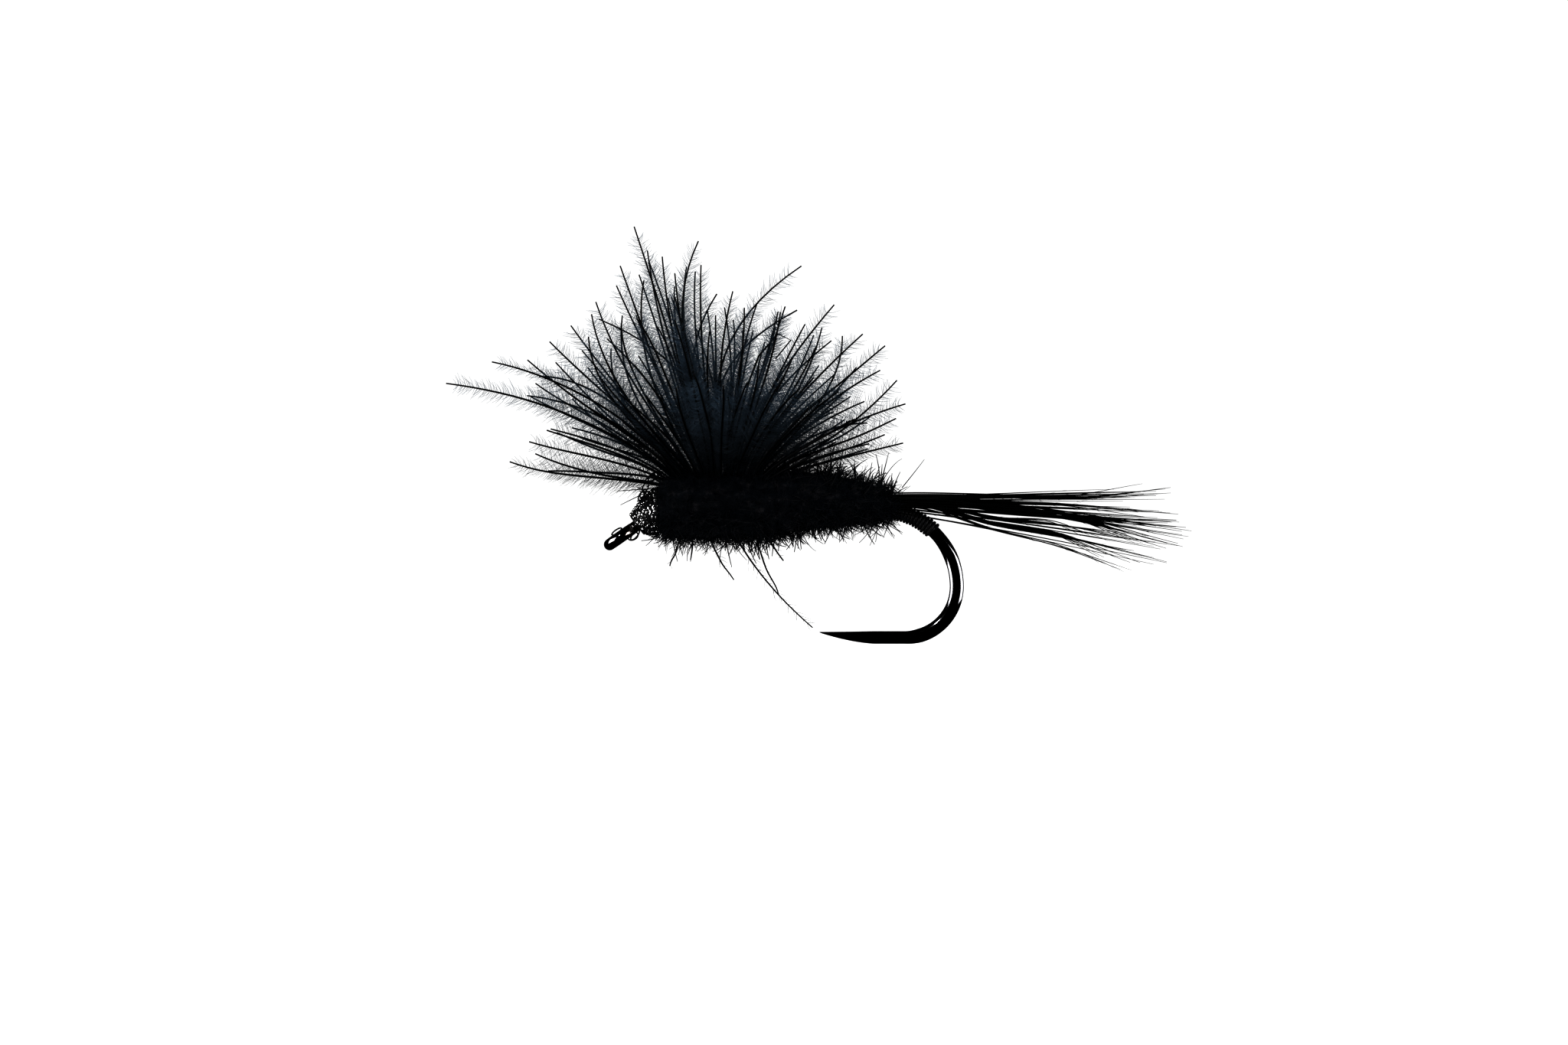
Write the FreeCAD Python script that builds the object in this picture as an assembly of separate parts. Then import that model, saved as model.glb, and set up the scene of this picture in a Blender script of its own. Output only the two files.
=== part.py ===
import FreeCAD, Part

# A dry fly: a barbless hook dressed with a tail of hackle fibres, a dubbed body and a fan of cul-de-canard
# barbs, all bound on with one tying thread.
#
# Millimetres. The origin is the centre of the hook's eye, +X runs along the shank towards the tail, +Z is up,
# towards the wing, and the hook lies in the XZ plane. Each sub-part is written to parts/NODE.step.

import math
import os
import random

from FreeCAD import Placement, Rotation, Vector

# The hook. Its bend is two tangent quarter circles: an upper one of large radius and a lower, tighter one.
WIRE_R = 0.22
EYE_HOLE_R = 0.30
EYE_WIRE_R = 0.20
EYE_LAND_DEPTH = 0.02       # how far the inside of the ring is flattened
EYE_GAP_DEG = 16            # between the ring's end and the neck
EYE_DROOP_DEG = 35          # how far the eye is turned down from the shank
NECK_BEND_R = 0.8
SHANK_Z = 0.93
BEND_START_X = 9.03
BEND_UPPER_R = 2.66
BEND_LOWER_R = 1.78
ROUND_UPPER_DEG = 50        # of the upper quarter, before the wire starts to be forged
FORGING_DEG = 16            # over which the section changes
SPEAR_LENGTH = 1.05
POINT_LENGTH = 1.96
POINT_LIFT_DEG = 4
POINT_TIP_R = 0.014
FORGED_HALF_WIDTH = 0.245   # in the plane of the bend
FORGED_HALF_THICKNESS = 0.175
FORGED_FLAT_HALF = 0.12

# The thread, and what it binds to the top of the shank.
THREAD = 0.05
BASE_R = WIRE_R + THREAD
BASE_START_X = 1.60
BINDING = 0.06
TAIL_WRAPS = (7.30, 9.00)
TAIL_CAVITY_R = 0.39
WING_WRAPS = ((1.60, 1.90), (4.95, 5.25))
WING_CAVITY_R = 0.41
BEND_WRAPS_DEG = 43.5

# The tail.
TAIL_FIBRE_R = 0.033
TAIL_TIP_R = 0.012
TAIL_LAYERS = ((15, 98), (11, 62), (7, 33))    # fibres in each layer on the shank, and its half angle
TAIL_PITCH = 0.068
TAIL_TURN_X = 10.2          # the fibres run level to about here, and then spread
TAIL_END_X = 20.0
TAIL_LOW_Z = -1.15          # heights of the lowest and the highest fibre at the end of the tail
TAIL_HIGH_Z = 1.80
TAIL_SPREAD_Y = 3.4
TAIL_CLUMP = (1.0, 0.13)    # the fibres cling together in clumps: their spacing, and how tightly

# The body: (x, height of the centre, radius) of its cross-sections.
THORAX = ((1.30, 1.00, 0.84), (1.62, 1.03, 1.05), (2.30, 1.04, 1.15), (3.60, 1.05, 1.17), (5.45, 1.12, 1.12))
ABDOMEN = ((5.45, 1.12, 1.12), (6.40, 1.27, 1.02), (7.80, 1.22, 0.86), (8.80, 1.17, 0.66), (9.40, 1.08, 0.51))
CLEFT_FLOOR = (1.98, 4.90, 0.36, 1.18)         # x from, x to, half width and height of the wing's cleft
CLEFT_TOP = (0.90, 6.00, 1.30, 2.60)

# The wing: four plumes side by side, with their stems on the shank and their barbs standing in a fan.
STEM_R = 0.07
STEMS_Y = (-0.08, 0.08, -0.24, 0.24)
STEM_Z = SHANK_Z + BASE_R + STEM_R
BARB_R = 0.036
BARB_TIP_R = 0.013
BARB_ROOTS_X = (2.12, 4.76)
FAN_CENTRE = (3.40, 2.30)
FAN_WAIST = (1.75, 5.05, 2.62)                 # x from, x to and height of the barbs' first control point

# Tips of the barbs that make the fan's outline, as (x, z), from the front round to the back.
FAN_OUTLINE = (
    (-3.84, 2.60), (-3.12, 3.28), (-6.00, 5.30), (-4.43, 6.05), (-3.22, 6.13), (-2.41, 6.73), (-1.07, 6.90),
    (-0.98, 7.70), (0.01, 9.37), (0.48, 10.75), (0.93, 9.94), (1.46, 9.70), (1.90, 9.11), (2.29, 9.37),
    (2.72, 10.20), (3.90, 8.51), (5.47, 7.80), (6.28, 9.40), (6.40, 7.32), (7.41, 8.01), (8.39, 6.99),
    (9.17, 6.60), (9.02, 5.78), (9.88, 4.60), (9.55, 4.09), (9.81, 3.25),
)
SIDE_LEAN_DEG = (24, 58)                       # of the outer plumes' barbs, away from the middle plane
SIDE_REACH = (4.2, 6.4)

# The head.
WHIP_FROM = 0.70                               # along the neck, from the middle of the eye
WHIP_LENGTH = 0.18
WHIP_R = 0.40
HEAD_FIRST_R = 0.50
HEAD_END_X = 1.30
# The rest of the head: x, height, heading and radius of its sections.
HEAD = ((0.93, 0.68, -18, 0.70), (1.12, 0.80, -8, 0.79), (HEAD_END_X, 0.90, 0, 0.84))
CEMENT = 0.022

# How many straight spans a long hair and a short one have.
HAIR_SPANS = 6
SHORT_SPANS = 4

# Root and tip radii of the loose hairs.
STRAY_RADII = (0.030, 0.016)
CUT_END_RADII = (0.022, 0.018)
GUARD_RADII = (0.018, 0.007)

# Loose hair and fibre: (root x, root angle from the top in degrees, tip x, tip y, tip z).
STRAYS = (
    (4.04, 178, 6.72, -0.30, -3.10), (2.05, 172, 1.72, -0.55, -0.98), (3.10, 186, 3.95, 0.45, -1.46),
    (4.70, 168, 5.45, -1.05, -2.05), (5.10, 196, 5.72, 1.00, -0.86),
)
CUT_ENDS = 7
ROOT_DEPTH = 0.06          # how far a loose hair's root goes into the dubbing

SHANK_AXIS = Vector(0, 0, SHANK_Z)
X_AXIS = Vector(1, 0, 0)
Y_AXIS = Vector(0, 1, 0)


def write(name, solids):
    """One STEP file of one or more closed solids."""
    for solid in solids:
        if not solid.isValid() or solid.Volume <= 0:
            raise ValueError(f"{name} holds a solid that isn't valid")
    Part.makeCompound(solids).exportStep(f"parts/{name}.step")
    print(f"{name}: {len(solids)} solids, {sum(s.Volume for s in solids):.4f} mm3")


class Track:
    """A place on the hook's centreline: its point, and its heading in degrees below +X."""

    def __init__(self, x, z, heading):
        self.x, self.z, self.heading = x, z, heading

    def along(self):
        a = math.radians(self.heading)
        return Vector(math.cos(a), 0, -math.sin(a))

    def inward(self):
        a = math.radians(self.heading)
        return Vector(-math.sin(a), 0, -math.cos(a))

    def point(self):
        return Vector(self.x, 0, self.z)

    def ahead(self, length):
        p = self.point() + self.along() * length
        return Track(p.x, p.z, self.heading)

    def turned(self, radius, degrees):
        """Where an arc that turns down by these degrees ends."""
        p = self.point() + self.inward() * radius
        end = Track(0, 0, self.heading + degrees)
        p = p - end.inward() * radius
        return Track(p.x, p.z, end.heading)


NECK = Track(0, 0, -EYE_DROOP_DEG)
DROOP = math.radians(EYE_DROOP_DEG)
NECK_STRAIGHT = SHANK_Z / math.sin(DROOP) - NECK_BEND_R * math.tan(DROOP / 2)
NECK_TOP = NECK.ahead(NECK_STRAIGHT)
SHANK_START = NECK_TOP.turned(NECK_BEND_R, EYE_DROOP_DEG)
BEND_START = Track(BEND_START_X, SHANK_Z, 0)
FORGED_UPPER_DEG = 90 - ROUND_UPPER_DEG - FORGING_DEG
FORGED_LOWER_DEG = 90 - FORGING_DEG


def section(track, flat_half, edge_y, flank_y, half_width):
    """A closed section of the wire across the track: two flanks, straight or bowed, and two round edges."""
    def at(inward, y):
        return track.point() + track.inward() * inward + Vector(0, y, 0)

    corners = [at(flat_half, edge_y), at(-flat_half, edge_y), at(-flat_half, -edge_y), at(flat_half, -edge_y)]
    crowns = [at(0, flank_y), at(-half_width, 0), at(0, -flank_y), at(half_width, 0)]
    edges = []
    for i, crown in enumerate(crowns):
        start, end = corners[i], corners[(i + 1) % 4]
        straight = abs(flank_y - edge_y) < 1e-7 and i in (0, 2)
        curve = Part.LineSegment(start, end) if straight else Part.Arc(start, crown, end)
        edges.append(curve.toShape())
    return Part.Wire(edges)


def round_sizes(radius):
    """The sizes of a round section, split so that it matches the corners of the forged one."""
    split = math.radians(34)
    return (radius * math.sin(split), radius * math.cos(split), radius, radius)


ROUND_WIRE = round_sizes(WIRE_R)
FORGED_WIRE = (FORGED_FLAT_HALF, FORGED_HALF_THICKNESS, FORGED_HALF_THICKNESS, FORGED_HALF_WIDTH)


def between(a, b, share):
    return tuple(p + (q - p) * share for p, q in zip(a, b))


def revolved(track, sizes, radius, degrees):
    """A stretch of wire of one section, round an arc."""
    centre = track.point() + track.inward() * radius
    return Part.Face(section(track, *sizes)).revolve(centre, Y_AXIS, degrees)


def lofted(stations):
    """A solid through sections, each given as (track, sizes)."""
    return Part.makeLoft([section(t, *sizes) for t, sizes in stations], True, False)


def arc_stations(track, radius, degrees, first, last, count):
    return [
        (track.turned(radius, degrees * i / count) if i else track, between(first, last, i / count))
        for i in range(count + 1)
    ]


def make_eye():
    """The ring, from beside the neck round to its own end, with a flat land inside the hole."""
    ring_r = EYE_HOLE_R + EYE_WIRE_R - EYE_LAND_DEPTH
    ring = Part.makeTorus(ring_r, EYE_WIRE_R, Vector(), Vector(0, 0, 1), -180, 180, 360 - EYE_GAP_DEG)
    ring.rotate(Vector(), Y_AXIS, -EYE_DROOP_DEG)
    bore = Part.makeCylinder(EYE_HOLE_R, 2, NECK.inward() * -1, NECK.inward())
    return ring.cut(bore)


def make_hook():
    """The whole hook as one piece of wire: eye, neck, shank, forged bend, spear and needle point."""
    back = BEND_START.turned(BEND_UPPER_R, ROUND_UPPER_DEG)
    forged = back.turned(BEND_UPPER_R, FORGING_DEG)
    lower = forged.turned(BEND_UPPER_R, FORGED_UPPER_DEG)
    heel = lower.turned(BEND_LOWER_R, FORGED_LOWER_DEG)
    spear = heel.turned(BEND_LOWER_R, FORGING_DEG)
    point = spear.ahead(SPEAR_LENGTH)
    point_arc_r = POINT_LENGTH / math.radians(POINT_LIFT_DEG)

    neck_foot = NECK.ahead(EYE_HOLE_R + EYE_WIRE_R * 0.7)
    pieces = [
        lofted([(neck_foot, round_sizes(EYE_WIRE_R * 0.96)), (NECK_TOP, ROUND_WIRE)]),
        revolved(NECK_TOP, ROUND_WIRE, NECK_BEND_R, EYE_DROOP_DEG),
        Part.Face(section(SHANK_START, *ROUND_WIRE)).extrude(X_AXIS * (BEND_START_X - SHANK_START.x)),
        revolved(BEND_START, ROUND_WIRE, BEND_UPPER_R, ROUND_UPPER_DEG),
        lofted(arc_stations(back, BEND_UPPER_R, FORGING_DEG, ROUND_WIRE, FORGED_WIRE, 2)),
        revolved(forged, FORGED_WIRE, BEND_UPPER_R, FORGED_UPPER_DEG),
        revolved(lower, FORGED_WIRE, BEND_LOWER_R, FORGED_LOWER_DEG),
        lofted(arc_stations(heel, BEND_LOWER_R, FORGING_DEG, FORGED_WIRE, ROUND_WIRE, 2)),
        Part.Face(section(spear, *ROUND_WIRE)).extrude(spear.along() * SPEAR_LENGTH),
    ]
    needle = []
    for share in (0.0, 0.25, 0.5, 0.75, 0.92, 1.0):
        radius = WIRE_R + (POINT_TIP_R - WIRE_R) * share ** 1.5
        here = point.turned(point_arc_r, POINT_LIFT_DEG * share)
        lift = here.inward() * (WIRE_R - radius) * 0.55
        needle.append((Track(here.x + lift.x, here.z + lift.z, here.heading), round_sizes(radius)))
    pieces.append(lofted(needle))
    return make_eye().fuse(pieces).removeSplitter().Solids[0]


def cylinder(x0, x1, radius, lift=0.0):
    return Part.makeCylinder(radius, x1 - x0, SHANK_AXIS + Vector(x0, 0, lift), X_AXIS)


def binding(x0, x1, cavity_r):
    """Turns of thread round the shank and what lies on top of it: a ring with its bottom on the shank."""
    lift = cavity_r - BASE_R
    return cylinder(x0, x1, cavity_r + BINDING, lift).cut(cylinder(x0, x1, cavity_r, lift))


def loft_circles(stations):
    """A solid through circles, each given as (track, radius)."""
    wires = [Part.Wire(Part.Circle(t.point(), t.along(), r).toShape()) for t, r in stations]
    return Part.makeLoft(wires, True, False)


def body(stations):
    return loft_circles([(Track(x, z, 0), r) for x, z, r in stations])


def torus_stretch(radius):
    """A round bar along the first part of the bend."""
    centre = BEND_START.point() + BEND_START.inward() * BEND_UPPER_R
    disc = Part.Face(Part.Wire(Part.Circle(BEND_START.point(), X_AXIS, radius).toShape()))
    return disc.revolve(centre, Y_AXIS, BEND_WRAPS_DEG)


def bezier(*poles):
    curve = Part.BezierCurve()
    curve.setPoles([Vector(*p) for p in poles])
    return curve


def hair(stations, root_r, tip_r):
    """A tapered hair of short straight spans through (point, direction) stations."""
    first, last = stations[0][0], stations[-1][0]
    chord = last - first
    level = Rotation(Vector(0, 0, 1), chord)
    rings = []
    for point, direction in stations:
        share = (point - first).Length / chord.Length
        radius = root_r + (tip_r - root_r) * min(share, 1)
        ring = Part.Wire(Part.Circle(Vector(), Vector(0, 0, 1), radius).toShape())
        ring.Placement = Placement(point, Rotation(chord, direction).multiply(level))
        rings.append(ring)
    return Part.makeLoft(rings, True, True)


def along_curve(curve, reach=1.0, spans=HAIR_SPANS):
    """Stations from a curve's start to this share of it."""
    return [(curve.value(reach * i / spans), curve.tangent(reach * i / spans)[0]) for i in range(spans + 1)]


def bezier_hair(poles, root_r, tip_r, spans=HAIR_SPANS):
    """A tapered hair on one curve. Its root stands a hair's width or so inside what it grows from."""
    return hair(along_curve(bezier(*poles), spans=spans), root_r, tip_r)


def tail_poles():
    """The control points of every fibre's free part, and the share of it that the fibre reaches."""
    chance = random.Random(12)
    low = BASE_R + TAIL_PITCH / 2
    z_low = low * math.cos(math.radians(TAIL_LAYERS[0][1]))
    z_high = low + TAIL_PITCH * (len(TAIL_LAYERS) - 1)
    period, tightness = TAIL_CLUMP
    fibres = []
    for layer, (count, half_angle) in enumerate(TAIL_LAYERS):
        rho = low + TAIL_PITCH * layer
        for i in range(count):
            angle = math.radians(half_angle * (2 * i / (count - 1) - 1))
            y, z = rho * math.sin(angle), rho * math.cos(angle)
            end_z = TAIL_LOW_Z + (TAIL_HIGH_Z - TAIL_LOW_Z) * (z - z_low) / (z_high - z_low)
            end_z += tightness * math.sin(2 * math.pi * end_z / period)
            root = (TAIL_WRAPS[1], y, SHANK_Z + z)
            turn = (TAIL_TURN_X, y, SHANK_Z + z)
            end = (TAIL_END_X, y * TAIL_SPREAD_Y, end_z)
            reach = 1 - 0.025 * abs(end_z + 0.35) - chance.uniform(0.01, 0.11)
            fibres.append((root, turn, end, reach))
    return fibres


def make_tail():
    fibres = []
    for root, turn, end, reach in tail_poles():
        butt = (Vector(TAIL_WRAPS[0], root[1], root[2]), X_AXIS)
        fibres.append(hair([butt] + along_curve(bezier(root, turn, end), reach), TAIL_FIBRE_R, TAIL_TIP_R))
    return fibres


def barb_poles(root_x, stem_y, tip):
    """The control points of a barb that rises out of the cleft and then heads for its tip."""
    share = (root_x - BARB_ROOTS_X[0]) / (BARB_ROOTS_X[1] - BARB_ROOTS_X[0])
    waist_from, waist_to, waist_z = FAN_WAIST
    root = (root_x, stem_y, STEM_Z + STEM_R * 0.5)
    waist = (waist_from + (waist_to - waist_from) * share, stem_y * 1.9, waist_z)
    arch = (waist[0] + (tip[0] - waist[0]) * 0.42, waist[1] + (tip[1] - waist[1]) * 0.40,
            waist[2] + (tip[2] - waist[2]) * 0.47 + 0.22)
    return (root, waist, arch, tip)


def middle_plume(stem_y, seed, on_outline):
    """The barbs of an inner plume, which make the outline of the fan."""
    chance = random.Random(seed)
    count = len(FAN_OUTLINE)
    barbs = []
    for i in range(count):
        x, z = FAN_OUTLINE[i]
        if not on_outline:
            nx, nz = FAN_OUTLINE[min(i + 1, count - 1)]
            pull = chance.uniform(0.74, 0.94)
            x = FAN_CENTRE[0] + ((x + nx) / 2 - FAN_CENTRE[0]) * pull
            z = FAN_CENTRE[1] + ((z + nz) / 2 - FAN_CENTRE[1]) * pull
        side = 1 if stem_y > 0 else -1
        tip = (x, side * chance.uniform(0.30, 1.60), z)
        root_x = BARB_ROOTS_X[0] + (BARB_ROOTS_X[1] - BARB_ROOTS_X[0]) * (i + 0.5 * (not on_outline)) / count
        barbs.append(barb_poles(root_x, stem_y, tip))
    return barbs


def side_plume(stem_y, seed):
    """The barbs of an outer plume, which lean out of the middle plane."""
    chance = random.Random(seed)
    count = len(FAN_OUTLINE)
    side = 1 if stem_y > 0 else -1
    barbs = []
    for i in range(count):
        share = (i + 0.5) / count
        around = math.radians(6 + 168 * share)
        lean = math.radians(SIDE_LEAN_DEG[i % 2] + chance.uniform(-9, 9))
        reach = chance.uniform(*SIDE_REACH)
        tip = (FAN_CENTRE[0] - reach * math.cos(around) * math.cos(lean * 0.6),
               stem_y + side * reach * math.sin(lean) * (0.45 + 0.55 * math.sin(around)),
               FAN_CENTRE[1] + 0.5 + reach * math.sin(around) * math.cos(lean))
        root_x = BARB_ROOTS_X[0] + (BARB_ROOTS_X[1] - BARB_ROOTS_X[0]) * share
        barbs.append(barb_poles(root_x, stem_y, tip))
    return barbs


def make_plume(stem_y, barbs):
    stem = Part.makeCylinder(STEM_R, WING_WRAPS[1][1] - WING_WRAPS[0][0],
                             Vector(WING_WRAPS[0][0], stem_y, STEM_Z), X_AXIS)
    return [stem] + [bezier_hair(poles, BARB_R, BARB_TIP_R) for poles in barbs]


def make_cleft():
    """The hollow that the wing stands in, wider at the top."""
    wires = []
    for x0, x1, half, z in (CLEFT_FLOOR, CLEFT_TOP):
        corners = [Vector(x0, -half, z), Vector(x1, -half, z), Vector(x1, half, z), Vector(x0, half, z)]
        wires.append(Part.makePolygon(corners + corners[:1]))
    return Part.makeLoft(wires, True, True)


def body_at(stations, x):
    """The height of the centre and the radius of the body at x."""
    for (x0, z0, r0), (x1, z1, r1) in zip(stations, stations[1:]):
        if x <= x1:
            share = (x - x0) / (x1 - x0)
            return z0 + (z1 - z0) * share, r0 + (r1 - r0) * share
    return stations[-1][1:]


def guard_hairs(stations, count, seed, angles, lengths):
    """Stiff hairs that slant back out of the dubbing, spread over its length and round it."""
    chance = random.Random(seed)
    x0, x1 = stations[0][0] + 0.35, stations[-1][0] - 0.35
    hairs = []
    for i in range(count):
        x = x0 + (x1 - x0) * (i + chance.random()) / count
        angle = math.radians(angles[0] + (angles[1] - angles[0]) * chance.random())
        length = chance.uniform(*lengths)
        slant = chance.uniform(0.35, 1.25)
        centre_z, radius = body_at(stations, x)
        out = (math.sin(angle), math.cos(angle))
        start = radius - ROOT_DEPTH
        rise = length * math.cos(slant)
        back = length * math.sin(slant)
        heights = ((0, start), (back * 0.35, start + rise * 0.75), (back, start + rise))
        hairs.append(tuple((x + ahead, out[0] * high, centre_z + out[1] * high) for ahead, high in heights))
    return hairs


def stray_poles():
    poles = []
    for root_x, angle, x, y, z in STRAYS:
        centre_z, radius = body_at(THORAX, root_x)
        a = math.radians(angle)
        start = radius - ROOT_DEPTH
        root = (root_x, start * math.sin(a), centre_z + start * math.cos(a))
        turn = (root_x + (x - root_x) * 0.25, root[1] * 1.2 + y * 0.2, root[2] + (z - root[2]) * 0.45)
        poles.append((root, turn, (x, y, z)))
    return poles


def whip_stations(extra):
    """The flared collar of thread behind the eye as (track, radius)."""
    return [(NECK.ahead(WHIP_FROM), WHIP_R + extra),
            (NECK.ahead(WHIP_FROM + WHIP_LENGTH), HEAD_FIRST_R + extra)]


def head_stations(extra):
    """The cone of the head as (track, radius), from the whip finish to the dubbing."""
    first = [(NECK.ahead(WHIP_FROM + WHIP_LENGTH), HEAD_FIRST_R + extra)]
    return first + [(Track(x, z, heading), radius + extra) for x, z, heading, radius in HEAD]


def cut_end_poles():
    """Short ends of fibre that stand out of the head, trimmed close."""
    chance = random.Random(7)
    poles = []
    for i in range(CUT_ENDS):
        x = HEAD_END_X - 0.30 + 0.22 * i / (CUT_ENDS - 1)
        angle = math.radians(-95 + 190 * (i * 3 % CUT_ENDS) / (CUT_ENDS - 1))
        length = chance.uniform(0.34, 0.62)
        y, z = math.sin(angle), math.cos(angle)
        root = (x, 0.50 * y, SHANK_Z + 0.50 * z)
        out = 0.80 + length * 0.25
        tip = (x - length * 1.25, out * y, SHANK_Z - 0.10 + out * z)
        bow = ((root[0] + tip[0]) / 2 + 0.06, (root[1] + tip[1]) / 2, (root[2] + tip[2]) / 2)
        poles.append((root, bow, tip))
    return poles


def main():
    os.makedirs("parts", exist_ok=True)
    hook = make_hook()
    write("hook", [hook])
    write("thread_base", [cylinder(BASE_START_X, BEND_START_X, BASE_R).cut(
        cylinder(BASE_START_X, BEND_START_X, WIRE_R)).Solids[0]])
    write("rear_thread_wraps", [torus_stretch(BASE_R).cut(torus_stretch(WIRE_R)).Solids[0]])
    write("tail_fibres", make_tail())
    write("tail_tie_in_wraps", [binding(*TAIL_WRAPS, TAIL_CAVITY_R).Solids[0]])

    tail_core_r = TAIL_CAVITY_R + BINDING
    shank_core = cylinder(ABDOMEN[0][0], TAIL_WRAPS[0], BASE_R)
    tail_core = cylinder(TAIL_WRAPS[0], ABDOMEN[-1][0] + 1, tail_core_r, TAIL_CAVITY_R - BASE_R)
    abdomen = body(ABDOMEN).cut([shank_core, tail_core]).Solids[0]
    write("abdomen_dubbing", [abdomen])

    wing_core_r = WING_CAVITY_R + BINDING
    wing_lift = WING_CAVITY_R - BASE_R
    wing_core = cylinder(THORAX[0][0], THORAX[-1][0], wing_core_r, wing_lift)
    thorax = body(THORAX).cut([wing_core, make_cleft()]).Solids[0]
    write("thorax_dubbing", [thorax])
    write("wing_tie_in_wraps", [binding(x0, x1, WING_CAVITY_R).Solids[0] for x0, x1 in WING_WRAPS])
    write("wing_plume_near", make_plume(STEMS_Y[0], middle_plume(STEMS_Y[0], 21, True)))
    write("wing_plume_far", make_plume(STEMS_Y[1], middle_plume(STEMS_Y[1], 22, False)))
    write("wing_plume_near_side", make_plume(STEMS_Y[2], side_plume(STEMS_Y[2], 23)))
    write("wing_plume_far_side", make_plume(STEMS_Y[3], side_plume(STEMS_Y[3], 24)))

    write("thread_dam", [cylinder(HEAD_END_X, BASE_START_X, wing_core_r, wing_lift).cut(hook).Solids[0]])
    whip = loft_circles(whip_stations(0))
    cone = loft_circles(head_stations(0))
    write("whip_finish", [whip.cut(hook).Solids[0]])
    write("head_wraps", [cone.cut(hook).Solids[0]])
    coat = loft_circles(whip_stations(CEMENT)).fuse(loft_circles(head_stations(CEMENT)))
    write("head_cement", [coat.cut([whip, cone, hook]).Solids[0]])

    write("head_cut_ends", [bezier_hair(p, *CUT_END_RADII, SHORT_SPANS) for p in cut_end_poles()])
    write("stray_barbs", [bezier_hair(p, *STRAY_RADII) for p in stray_poles()])
    hairs = guard_hairs(ABDOMEN, 26, 32, (-150, 150), (0.55, 1.35))
    write("abdomen_guard_hairs", [bezier_hair(p, *GUARD_RADII, SHORT_SPANS) for p in hairs])
    hairs = guard_hairs(THORAX, 22, 31, (80, 280), (0.5, 1.15))
    write("thorax_guard_hairs", [bezier_hair(p, *GUARD_RADII, SHORT_SPANS) for p in hairs])


main()
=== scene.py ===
import math
import random

import bpy
import numpy as np
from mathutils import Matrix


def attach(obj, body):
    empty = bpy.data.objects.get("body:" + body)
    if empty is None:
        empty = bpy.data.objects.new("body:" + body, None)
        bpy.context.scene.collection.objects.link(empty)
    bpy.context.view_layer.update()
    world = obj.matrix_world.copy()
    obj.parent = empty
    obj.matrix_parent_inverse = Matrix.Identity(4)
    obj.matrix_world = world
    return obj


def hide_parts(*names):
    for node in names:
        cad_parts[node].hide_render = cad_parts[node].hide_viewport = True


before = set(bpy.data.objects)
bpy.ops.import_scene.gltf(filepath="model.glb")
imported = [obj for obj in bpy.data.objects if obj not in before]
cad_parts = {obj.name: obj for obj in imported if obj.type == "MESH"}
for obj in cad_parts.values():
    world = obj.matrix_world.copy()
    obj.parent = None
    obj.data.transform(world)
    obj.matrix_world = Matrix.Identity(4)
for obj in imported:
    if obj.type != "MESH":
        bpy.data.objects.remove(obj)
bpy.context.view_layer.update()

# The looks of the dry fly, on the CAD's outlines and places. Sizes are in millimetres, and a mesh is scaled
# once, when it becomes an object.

SCENE = bpy.context.scene
MM = 0.001
TAU = 2 * math.pi

# The hook.
WIRE_R = 0.22
EYE_HOLE_R = 0.30
EYE_WIRE_R = 0.20
EYE_LAND_DEPTH = 0.02
EYE_DROOP_DEG = 35
NECK_BEND_R = 0.8
SHANK_Z = 0.93
BEND_START_X = 9.03
BEND_UPPER_R = 2.66
BEND_LOWER_R = 1.78
ROUND_UPPER_DEG = 50
FORGING_DEG = 16
SPEAR_LENGTH = 1.05
POINT_LENGTH = 1.96
POINT_LIFT_DEG = 4
POINT_TIP_R = 0.014
FORGED_HALF_WIDTH = 0.245
FORGED_HALF_THICKNESS = 0.175
FORGED_POWER = 0.72
NECK_WIRE_SHARE = 0.96
NECK_FOOT_SHARE = 0.7
POINT_STEPS = 48
POINT_TAPER = 1.5
POINT_HOLLOW = 0.55
HOOK_SIDES = 40
RING_STEPS = 96
RING_SIDES = 32

# The thread. Turns have a pitch, half a thickness, half a width, points per turn and an unevenness.
BASE_R = 0.27
BEND_WRAPS_DEG = 43.5
REAR_TURNS = (0.125, 0.040, 0.050, 36, 0.006)
REAR_TURNS_GAP = 0.012
REAR_SLEEVE = 0.016
HEAD_TURNS = (0.060, 0.024, 0.040, 40, 0.012)
HEAD_TURNS_INSET = 0.055

# Barbules: spacing, the span of the barb that has them, lengths, angles, radii and the spread of the planes.
TAIL_BARBULES = (0.9, (0.35, 0.90), (0.12, 0.26), (10, 22), (0.006, 0.002), 60)
LONG_STRAY_BARBULES = (0.17, (0.25, 0.98), (0.25, 0.45), (38, 62), (0.007, 0.003), 40)
STRAY_BARBULES = (0.30, (0.3, 0.98), (0.12, 0.28), (38, 62), (0.007, 0.003), 40)
DOWN_SPAN = (0.10, 0.97)
DOWN_SHAPE = ((52, 82), (0.0066, 0.0025), 24)
DOWN_LEAN = 0.35

# The tail.
TAIL_START_X = 9.00
TAIL_FIBRE_R = 0.033
TAIL_THICKNESS = (0.8, 1.25)
TAIL_TAPER = 2.2
TAIL_LAYERS = ((15, 98), (11, 62), (7, 33))
TAIL_PITCH = 0.068
TAIL_TURN_X = 10.2
TAIL_END_X = 20.0
TAIL_LOW_Z = -1.15
TAIL_HIGH_Z = 1.80
TAIL_SPREAD_Y = 3.4
TAIL_CLUMP = (1.0, 0.13)
TAIL_RINGS = 30
TAIL_TIP_SHARE = 0.17

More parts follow.
